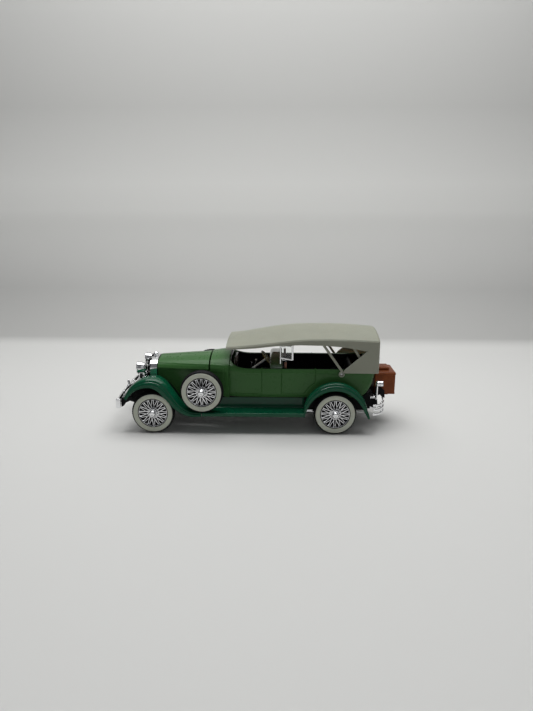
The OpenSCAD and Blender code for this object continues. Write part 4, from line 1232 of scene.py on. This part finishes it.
def top_grid():
    """Moulded top and rear curtain as one sheet.

    Along it: the crown line from the windshield to the back, a tight bend, and the upright back.
    Across it: height = crown - fall * (distance from the middle)**1.5 up to the gutter, and then a
    flat strip down to the hem, which is the valance under the roof and the side curtain behind.
    """
    roof = curve(TOP_PATH, 110)
    v = np.sin(np.radians(np.linspace(0, 90, 46)))
    edge_z = smooth(roof[:, 0], [(-70.4, 55.3), (-54.7, 56), (-39.1, 56.2), (-24.1, 55.7), (-10.8, 54.2),
                                 (1, 52.75), (12, 51.65), (18.4, 51.1)])
    width = TOP_W - 0.8 * (np.maximum(0, roof[:, 0]) / 18.4) ** 4
    arch_of_roof = roof[:, 1, None] - (roof[:, 1] - edge_z)[:, None] * v**1.5
    crown = np.stack([roof[:, 0, None] + 0 * v, width[:, None] * v, arch_of_roof], -1)
    rear_arch, bend_r = arch_of_roof[-1], 0.8
    turn = np.radians(np.linspace(0, 90, 8))[1:, None]
    round_off = 0.7 * v**14
    bend = np.stack([roof[-1, 0] - (bend_r - round_off) * np.sin(turn), TOP_W * v + 0 * turn,
                     rear_arch - bend_r * (1 - np.cos(turn))], -1)
    t = np.linspace(0, 1, 56)[1:, None]
    top_of_back = rear_arch - bend_r
    back = np.stack([roof[-1, 0] - bend_r + round_off - 0.1 * t, TOP_W * v + 0 * t,
                     top_of_back * (1 - t) + 36.6 * t], -1)
    crown = np.concatenate([crown, bend, back])
    gutter = crown[:, -1]
    on_roof = np.arange(len(crown)) < len(roof)
    hem_x = np.where(on_roof, np.maximum(gutter[:, 0], -63.7), straight(gutter[:, 2], [
        (36.6, -51.6), (37.3, -50.4), (38.9, -51.4), (40.6, -53.4), (46.6, -60.2), (49.8, -63.7),
        (52.5, -63.7)]))
    hem_z = np.where(on_roof, straight(gutter[:, 0], [
        (-63.7, 49.9), (-55.5, 51.5), (-49.6, 52.4), (-39.2, 53.2), (-24.5, 53.5), (-10.8, 52.9), (1, 51.5),
        (12, 50.8), (18.4, 50.6)]), np.minimum(gutter[:, 2], 49.9))
    hem = np.stack([hem_x, gutter[:, 1] - 0.25, hem_z], 1)
    strip = np.linspace(0, 1, 13)[1:]
    valance = gutter[:, None] + (hem - gutter)[:, None] * strip[None, :, None]
    left = np.concatenate([crown, valance], 1)
    right = left[:, 1:][:, ::-1] * np.array([1, -1, 1])
    return np.concatenate([right, left], 1)


def build_top(look, m):
    """Moulded top, its irons and its bows.

    A bow follows the crown less the fall to the gutter times (distance from the middle)**1.5.
    """
    piece("moulded_top", shell(top_grid(), 0.8), m.top, replaces=["roof", "rear_curtain"],
          sharp=32)

    eye_x, eye_z = -49.6, 35.6
    eye = turned_ring(bevelled([(0.85, 0), (1.8, 0), (1.8, 1.0), (1.55, 1.3), (1.15, 1.3), (0.9, 1.0),
                                (0.85, 0.1)], 0.2, 3),
                      (eye_x, BODY_W, eye_z), (0, 1, 0), 48)
    pin = lathe([(0, 0), (0.75, 0), (0.7, 0.35), (0, 0.5)], (eye_x, BODY_W, eye_z), (0, 1, 0), 20)
    bar = rounded_rect(1.5, 0.9, 0.3, 4)
    long_arm = sweep(curve([(-50.0, 20.4, 37.1), (-44.5, 20.4, 44.8), (-38.6, 20.4, 53.1)], 12), bar,
                     up=(0, 1, 0))
    short_arm = sweep(curve([(-60.1, 19.5, 45.4), (-55.7, 19.5, 52.2)], 8), bar, up=(0, 1, 0))
    piece("top_iron_arms", pair(eye, long_arm, short_arm), m.top, replaces=["top_irons"])
    piece("top_iron_pins", pair(pin), m.steel)

    ribs = []
    for at in (-57.5, -38.5, -18.0, 2.0):
        y = np.linspace(-19.2, 19.2, 30)
        crown = smooth(at, [(x, z) for x, z in TOP_PATH[::-1]])
        edge = straight(at, [(-54.7, 56), (-39.1, 56.2), (-24.1, 55.8), (-10.8, 54.3), (1, 52.75)])
        z = crown - 1.25 - (crown - edge) * (np.abs(y) / TOP_W) ** 1.5
        ribs.append(sweep(np.stack([np.full_like(y, at), y, z], 1), rounded_rect(1.3, 0.8, 0.3, 4)))
    piece("top_bows", join(*ribs), m.wood)


# ---------------------------------------------------------------- trunk and rear end

def build_trunk(look, m):
    """Trunk and its cover: rounded boxes, and a slope of outlines that draw in as a quarter circle."""
    lo, hi = low("trunk_body"), high("trunk_body")
    seam, top, back = hi[2], high("trunk_lid")[2], low("trunk_lid")[0]
    back -= 0.8
    lo[0] -= 0.8
    body = rounded_box(lo + [0.2, 0, 0], hi - [0, 0, 0.2], 0.7, 0.35)
    foot = rounded_box(lo + [0, -0.1, 0], [hi[0], hi[1] + 0.1, lo[2] + 0.9], 0.8, 0.25)
    piece("trunk_box", join(body, foot), m.trunk, replaces=["trunk_body"])
    back += 0.35
    half, middle_x, rim_top, lid_top = hi[1] + 0.15, (back + hi[0]) / 2, seam + 0.9, seam + 1.8
    rim = rounded_box([back, -half, seam], [hi[0], half, rim_top + 0.1], 0.9, 0.25)
    inset = 1.5 * (1 - np.cos(np.radians(np.linspace(0, 80, 8))))
    rise = rim_top + (lid_top - rim_top) * np.sin(np.radians(np.linspace(0, 90, 8)))
    slope = [place(*rounded_rect(hi[0] - back - 2 * i - 0.2, 2 * half - 2 * i - 0.2, 0.9, 5,
                                 (middle_x, 0)).T, z, "xy")
             for i, z in zip(inset, rise)]
    line = rounded_box([back + 0.3, -half + 0.1, seam - 0.35], [hi[0], half - 0.1, seam], 0.8, 0.1)
    hat = rounded_box((-80.9, -4.6, lid_top - 0.5), (-73, 4.6, top + 0.8), 1.0, 0.8)
    piece("trunk_cover", join(rim, line, closed(np.stack(slope)), hat), m.trunk,
          replaces=["trunk_lid"])
    refinish("luggage_rack", m.black)


def build_rear(look, m):
    """Tail lamps and rear bumper: turned drums on posts, and three bars on a quarter ellipse in plan."""
    x, y, z = -70.0, 20.0, 29.9
    drum = lathe(bevelled([(0, 0), (1.1, 0.05), (1.6, 0.5), (1.7, 1.0), (1.7, 2.1), (1.55, 2.2), (1.55, 2.4),
                           (1.7, 2.5),
                           (1.7, 3.7), (1.75, 4.0), (1.5, 4.2), (1.35, 4.0), (0, 3.9)], 0.15, 3), (x, y, z),
                           (-1, 0, 0), 40)
    post = tube([(-71, y, 20.2), (-71, y, 28.4)], 0.45, 12, up=(1, 0, 0))
    arm = sweep(curve([(-70.7, 12.4, 19.9), (-70.9, 16, 20.0), (-71, 20.3, 20.2)], 16),
                rounded_rect(1.1, 1.0, 0.3, 4))
    piece("tail_lamp_drums", pair(drum, post, arm), m.chrome, replaces=["tail_lamps"])
    r = np.linspace(0, 1.32, 8)
    glow = np.concatenate([np.stack([r, 4.15 + 0.2 * (1 - (r / 1.32) ** 2)], 1), [(1.32, 3.95), (0, 3.95)]])
    piece("tail_lamp_lenses", pair(lathe(glow, (x, y, z), (-1, 0, 0), 32)), m.red)

    a = np.radians(np.linspace(2, 90, 26))
    plan = np.stack([-67.6 - 8.0 * np.sin(a), 16.6 + 9.9 * np.cos(a)], 1)
    bars = []
    for level in (12.9, 15.65, 18.4):
        path = np.concatenate([np.stack([plan[:, 0], plan[:, 1], np.full(26, level)], 1),
                               [(-75.6, 14.2, level), (-75.6, 12.8, level)]])
        bars.append(sweep(path, rounded_rect(0.6, 1.3, 0.25, 4)))
    upright = rounded_box((-76.1, 16.2, 12.1), (-75.0, 17.7, 19.2), 0.25, 0.25, "yz")
    outer_upright = rounded_box((-73.6, 22.4, 12.2), (-72.8, 23.3, 19.1), 0.2, 0.2, "yz")
    bracket = sweep([(-65.6, 16, 19.9), (-68, 16, 20.1), (-70.6, 16, 20.2)], rounded_rect(1.2, 1.4, 0.35, 4))
    hook = sweep(curve([(-66.2, 16, 19.8), (-66.5, 16, 15.8), (-67.6, 16, 14.2), (-69.8, 15.4, 13.2),
                        (-74.8, 13.4, 13.4)], 28),
                 rounded_rect(0.9, 0.9, 0.3, 4), up=(0, 1, 0))
    piece("rear_bumper_bars", pair(*bars, upright, outer_upright, bracket, hook), m.chrome,
          replaces=["rear_bumper"])


def build_chassis(look, m):
    """Finishes of the chassis, and the inner panels of the arches.

    A panel is an upright wall: its height runs from a foot line to just under the fender's crown in
    front, and from a level foot to the body's lower edge behind.
    """
    refinish("base_plate", m.black)
    refinish("base_screws", m.steel)
    refinish("exhaust_pipe", m.chrome)

    path = curve(FRONT_PATH, 110)
    path = path[(path[:, 0] > 46.5) & (path[:, 0] < 79.5)]
    t = np.linspace(0, 1, 14)[None]
    x = path[:, 0, None] - 1.2 * ease((path[:, 0, None] - 70) / 6)
    crown = path[:, 1, None] - 1.7 + 0.9 * ease((path[:, 0, None] - 70) / 6)
    foot = straight(path[:, 0], [(46, 15.2), (70, 15.2), (76, 18.2), (80, 20.4)])[:, None]
    front = shell(np.stack([x + 0 * t, 14.7 + 0 * x * t, foot + (np.maximum(crown, foot + 0.3) - foot) * t],
                           -1), 0.6)
    x = np.linspace(-67.6, -28, 60)[:, None]
    under_body = straight(x, [(-68, 25.0), (-64.1, 21.9), (-62, 20.9), (-28, 20.9)])
    rear = shell(np.stack([x + 0 * t, 17.3 + 0 * x * t, 13.5 + (under_body - 13.5) * t], -1), 0.6)
    arm = pillow([(73.9, 22.6), (73.7, 20.7), (75.6, 19.7), (78.1, 18.5), (79.4, 16.6), (80.8, 15.9),
                  (80.8, 21.4),
                  (78.4, 22.0), (76.2, 22.4)], 23.4, 25.2, 0.25, "xz")
    gap = rounded_box((-27, BOARD_IN + 0.6, 19.9), (33, BOARD_IN + 1.2, 20.8), 0.2, 0.1)
    piece("arch_liners", pair(front, rear, arm, gap), m.black)


# ---------------------------------------------------------------- stage

CAMERA_PLACE = (-0.0109, 0.3224, 0.1272)
CAMERA_YAW, CAMERA_PITCH, CAMERA_ROLL = (math.radians(v) for v in (-1.07, 15.0, 0.11))
CAMERA_SHIFT = 0.0014
BACKDROP_R = 120.0
BACKDROP_FOOT, BACKDROP_WALL = -190, -310


def turned_to(right, upwards, back):
    """Rotation of a lamp or the camera, whose own three axes point in these directions."""
    return Matrix(np.stack([right, upwards, back], 1).tolist()).to_4x4()


def area(name, at, look_at, size, power_w):
    """Soft rectangular light at a place, facing another, in millimetres; its size is in metres."""
    light = bpy.data.lights.new(name, "AREA")
    light.shape = "RECTANGLE"
    light.size, light.size_y = size
    light.energy = power_w
    back = np.array(at, float) - np.array(look_at, float)
    back /= np.linalg.norm(back)
    across = np.cross((0, 1, 0) if abs(back[2]) > 0.9 else (0, 0, 1), back)
    across /= np.linalg.norm(across)
    place_there = Matrix.Translation(np.array(at, float) * MM)
    new_object(name, light).matrix_world = place_there @ turned_to(across, np.cross(back, across), back)


def build_stage(stage):
    """Pale floor that sweeps up into a backdrop, with painted shade and painted light in bands up the sweep,
    soft lights and the camera.

    The floor is a level line, a quarter circle and an upright line, carried across the car.
    """
    bend = arc((BACKDROP_FOOT, BACKDROP_R), BACKDROP_R, -90, -180, 24)
    profile = np.concatenate([[(1500, 0), (600, 0), (200, 0), (0, 0), (-120, 0)], bend,
                              [(BACKDROP_WALL, 500), (BACKDROP_WALL, 1600)]])
    x = np.linspace(-1500, 1500, 7)
    p = np.stack(np.broadcast_arrays(x[:, None], profile[None, :, 0], profile[None, :, 1]), -1)
    mesh = bpy.data.meshes.new("sweep")
    mesh.from_pydata((p.reshape(-1, 3) * MM).tolist(), [], quads(*p.shape[:2])[:, ::-1].tolist())
    mesh.polygons.foreach_set("use_smooth", np.ones(len(mesh.polygons), bool))
    floor = new_object("floor_sweep", mesh)
    made = Finish("floor_paper", stage.floor_colour, 0.55, Specular_IOR_Level=0.25)
    up = made.node("ShaderNodeSeparateXYZ", {"_0": made.coords}).outputs[2]
    # Painted shade: above the floor the sweep takes the darker backdrop colour, standing in for the light
    # falling off.
    lower = made.blend(made.span(up, 0.0, 0.003, 0, 1), stage.floor_colour, stage.backdrop_shaded_colour)
    # Painted light: a brighter band where the bend rises into the wall.
    painted_light_band = made.blend(made.span(up, 0.045, 0.13, 0, 1), lower, tone(stage.backdrop_shaded_colour, 1.75))
    # Painted light: the upper wall lightened again above the band.
    upper = made.blend(made.span(up, 0.16, 0.24, 0, 1), painted_light_band, tone(stage.backdrop_shaded_colour, 1.28))
    made.set(made.shader, **{"Base Color": upper})
    made.relief(made.noise(1200, 2), 0.000004)
    mesh.materials.append(made.material)

    area("overhead", (0, -60, 600), (0, 20, 0), (0.7, 0.45), stage.overhead_power)
    area("highlight_strip", (0, 40, 620), (0, 0, 20), (0.45, 0.05), 0.4)
    area("front_fill", (-250, 700, 380), (0, 0, 20), (0.5, 0.4), stage.fill_power)

    world = bpy.data.worlds.new("soft_room")
    world.use_nodes = True
    world.node_tree.nodes["Background"].inputs[0].default_value = (0.95, 0.97, 1.0, 1)
    world.node_tree.nodes["Background"].inputs[1].default_value = stage.room_light
    bpy.context.scene.world = world
    bpy.context.scene.view_settings.view_transform = "Standard"

    ahead = np.array([-math.sin(CAMERA_YAW), -math.cos(CAMERA_YAW), 0])
    right = np.array([-math.cos(CAMERA_YAW), math.sin(CAMERA_YAW), 0])
    upright = np.array([0, 0, 1.0])
    forward = ahead * math.cos(CAMERA_PITCH) - upright * math.sin(CAMERA_PITCH)
    rise = upright * math.cos(CAMERA_PITCH) + ahead * math.sin(CAMERA_PITCH)
    side = right * math.cos(CAMERA_ROLL) + rise * math.sin(CAMERA_ROLL)
    rise = rise * math.cos(CAMERA_ROLL) - right * math.sin(CAMERA_ROLL)
    camera = bpy.data.cameras.new("camera")
    camera.lens = stage.lens
    camera.shift_y = CAMERA_SHIFT
    camera.clip_start, camera.clip_end = 0.01, 20
    eye = new_object("camera", camera)
    eye.matrix_world = Matrix.Translation(CAMERA_PLACE) @ turned_to(side, rise, -forward)
    bpy.context.scene.camera = eye


# ---------------------------------------------------------------- add-on

class TouringCarLook(bpy.types.PropertyGroup):
    body_colour: FloatVectorProperty(name="Body", description="Enamel of the body, cowl and hood",
                                     subtype="COLOR", default=(0.042, 0.125, 0.034), min=0, max=1)
    fender_colour: FloatVectorProperty(name="Fenders", description="Plastic of the fenders and boards",
                                       subtype="COLOR", default=(0.002, 0.066, 0.03), min=0, max=1)
    top_colour: FloatVectorProperty(name="Top", description="Moulded top and rear curtain",
                                    subtype="COLOR", default=(0.3, 0.303, 0.245), min=0, max=1)
    trunk_colour: FloatVectorProperty(name="Trunk", description="Leather-look trunk",
                                      subtype="COLOR", default=(0.17, 0.042, 0.01), min=0, max=1)
    spokes: IntProperty(name="Spokes", description="Spokes in each of a wheel's two sets", default=16,
                        min=12, max=24)


class TouringCarStage(bpy.types.PropertyGroup):
    floor_colour: FloatVectorProperty(name="Floor", description="Paper under the car", subtype="COLOR",
                                      default=(0.665, 0.665, 0.65), min=0, max=1)
    # The backdrop colour is darker than the floor as painted shade; the stage paints its light bands from it.
    backdrop_shaded_colour: FloatVectorProperty(name="Backdrop", description="Paper behind the car", subtype="COLOR",
                                     default=(0.457, 0.457, 0.445), min=0, max=1)
    overhead_power: FloatProperty(name="Overhead light", description="Soft light above the car",
                                  default=3.5, min=0, unit="POWER")
    fill_power: FloatProperty(name="Fill light", description="Soft light behind the camera",
                              default=0.2, min=0, unit="POWER")
    room_light: FloatProperty(name="Room light", description="Brightness of the room", default=0.14, min=0)
    lens: FloatProperty(name="Lens", description="Focal length in millimetres", default=27.04, min=10)


class PartOperator:
    """What the operators that build pieces have in common."""

    bl_options = {"REGISTER", "UNDO"}

    def execute(self, context):
        for build in self.builders:
            build(context.scene.touring_car_look, finishes(context))
        return {"FINISHED"}


class TOURING_OT_body(PartOperator, bpy.types.Operator):
    """Build the body, cowl and hood"""
    bl_idname = "touring.body"
    bl_label = "Body and hood"
    builders = (build_body, build_hood)


class TOURING_OT_fenders(PartOperator, bpy.types.Operator):
    """Build the fenders and running boards"""
    bl_idname = "touring.fenders"
    bl_label = "Fenders and boards"
    builders = (build_fenders, build_boards)


class TOURING_OT_wheels(PartOperator, bpy.types.Operator):
    """Build the road wheels and the spares"""
    bl_idname = "touring.wheels"
    bl_label = "Wheels"
    builders = (build_wheels, build_spares)


class TOURING_OT_front(PartOperator, bpy.types.Operator):
    """Build the radiator, lamps, horn and front bumper"""
    bl_idname = "touring.front"
    bl_label = "Front end"
    builders = (build_radiator, build_lamps, build_front_bumper)


class TOURING_OT_cabin(PartOperator, bpy.types.Operator):
    """Build the seats, controls, windshields and second cowl"""
    bl_idname = "touring.cabin"
    bl_label = "Cabin"
    builders = (build_cabin, build_windshields)


class TOURING_OT_top(PartOperator, bpy.types.Operator):
    """Build the raised top with its curtain and irons"""
    bl_idname = "touring.top"
    bl_label = "Top"
    builders = (build_top,)


class TOURING_OT_rear(PartOperator, bpy.types.Operator):
    """Build the trunk, tail lamps, rear bumper and chassis finishes"""
    bl_idname = "touring.rear"
    bl_label = "Rear end and chassis"
    builders = (build_trunk, build_rear, build_chassis)


class TOURING_OT_stage(bpy.types.Operator):
    """Build the floor, lights and camera"""
    bl_idname = "touring.stage"
    bl_label = "Stage"

    def execute(self, context):
        build_stage(context.scene.touring_car_stage)
        return {"FINISHED"}


PARTS = (TOURING_OT_body, TOURING_OT_fenders, TOURING_OT_wheels, TOURING_OT_front, TOURING_OT_cabin,
         TOURING_OT_top, TOURING_OT_rear, TOURING_OT_stage)


class TOURING_PT_parts(bpy.types.Panel):
    """Lists the pieces of the car"""
    bl_idname = "TOURING_PT_parts"
    bl_label = "Touring car"
    bl_space_type = "VIEW_3D"
    bl_region_type = "UI"
    bl_category = "Touring Car"

    def draw(self, context):
        for settings in (context.scene.touring_car_look, context.scene.touring_car_stage):
            for name in settings.__annotations__:
                self.layout.prop(settings, name)
        for part in PARTS:
            self.layout.operator(part.bl_idname)


CLASSES = (TouringCarLook, TouringCarStage, *PARTS, TOURING_PT_parts)


def register():
    for cls in CLASSES:
        bpy.utils.register_class(cls)
    bpy.types.Scene.touring_car_look = PointerProperty(type=TouringCarLook)
    bpy.types.Scene.touring_car_stage = PointerProperty(type=TouringCarStage)


def unregister():
    del bpy.types.Scene.touring_car_look
    del bpy.types.Scene.touring_car_stage
    for cls in reversed(CLASSES):
        bpy.utils.unregister_class(cls)


def main():
    register()
    for part in PARTS:
        group, name = part.bl_idname.split(".")
        getattr(getattr(bpy.ops, group), name)()


if __name__ == "__main__":
    main()
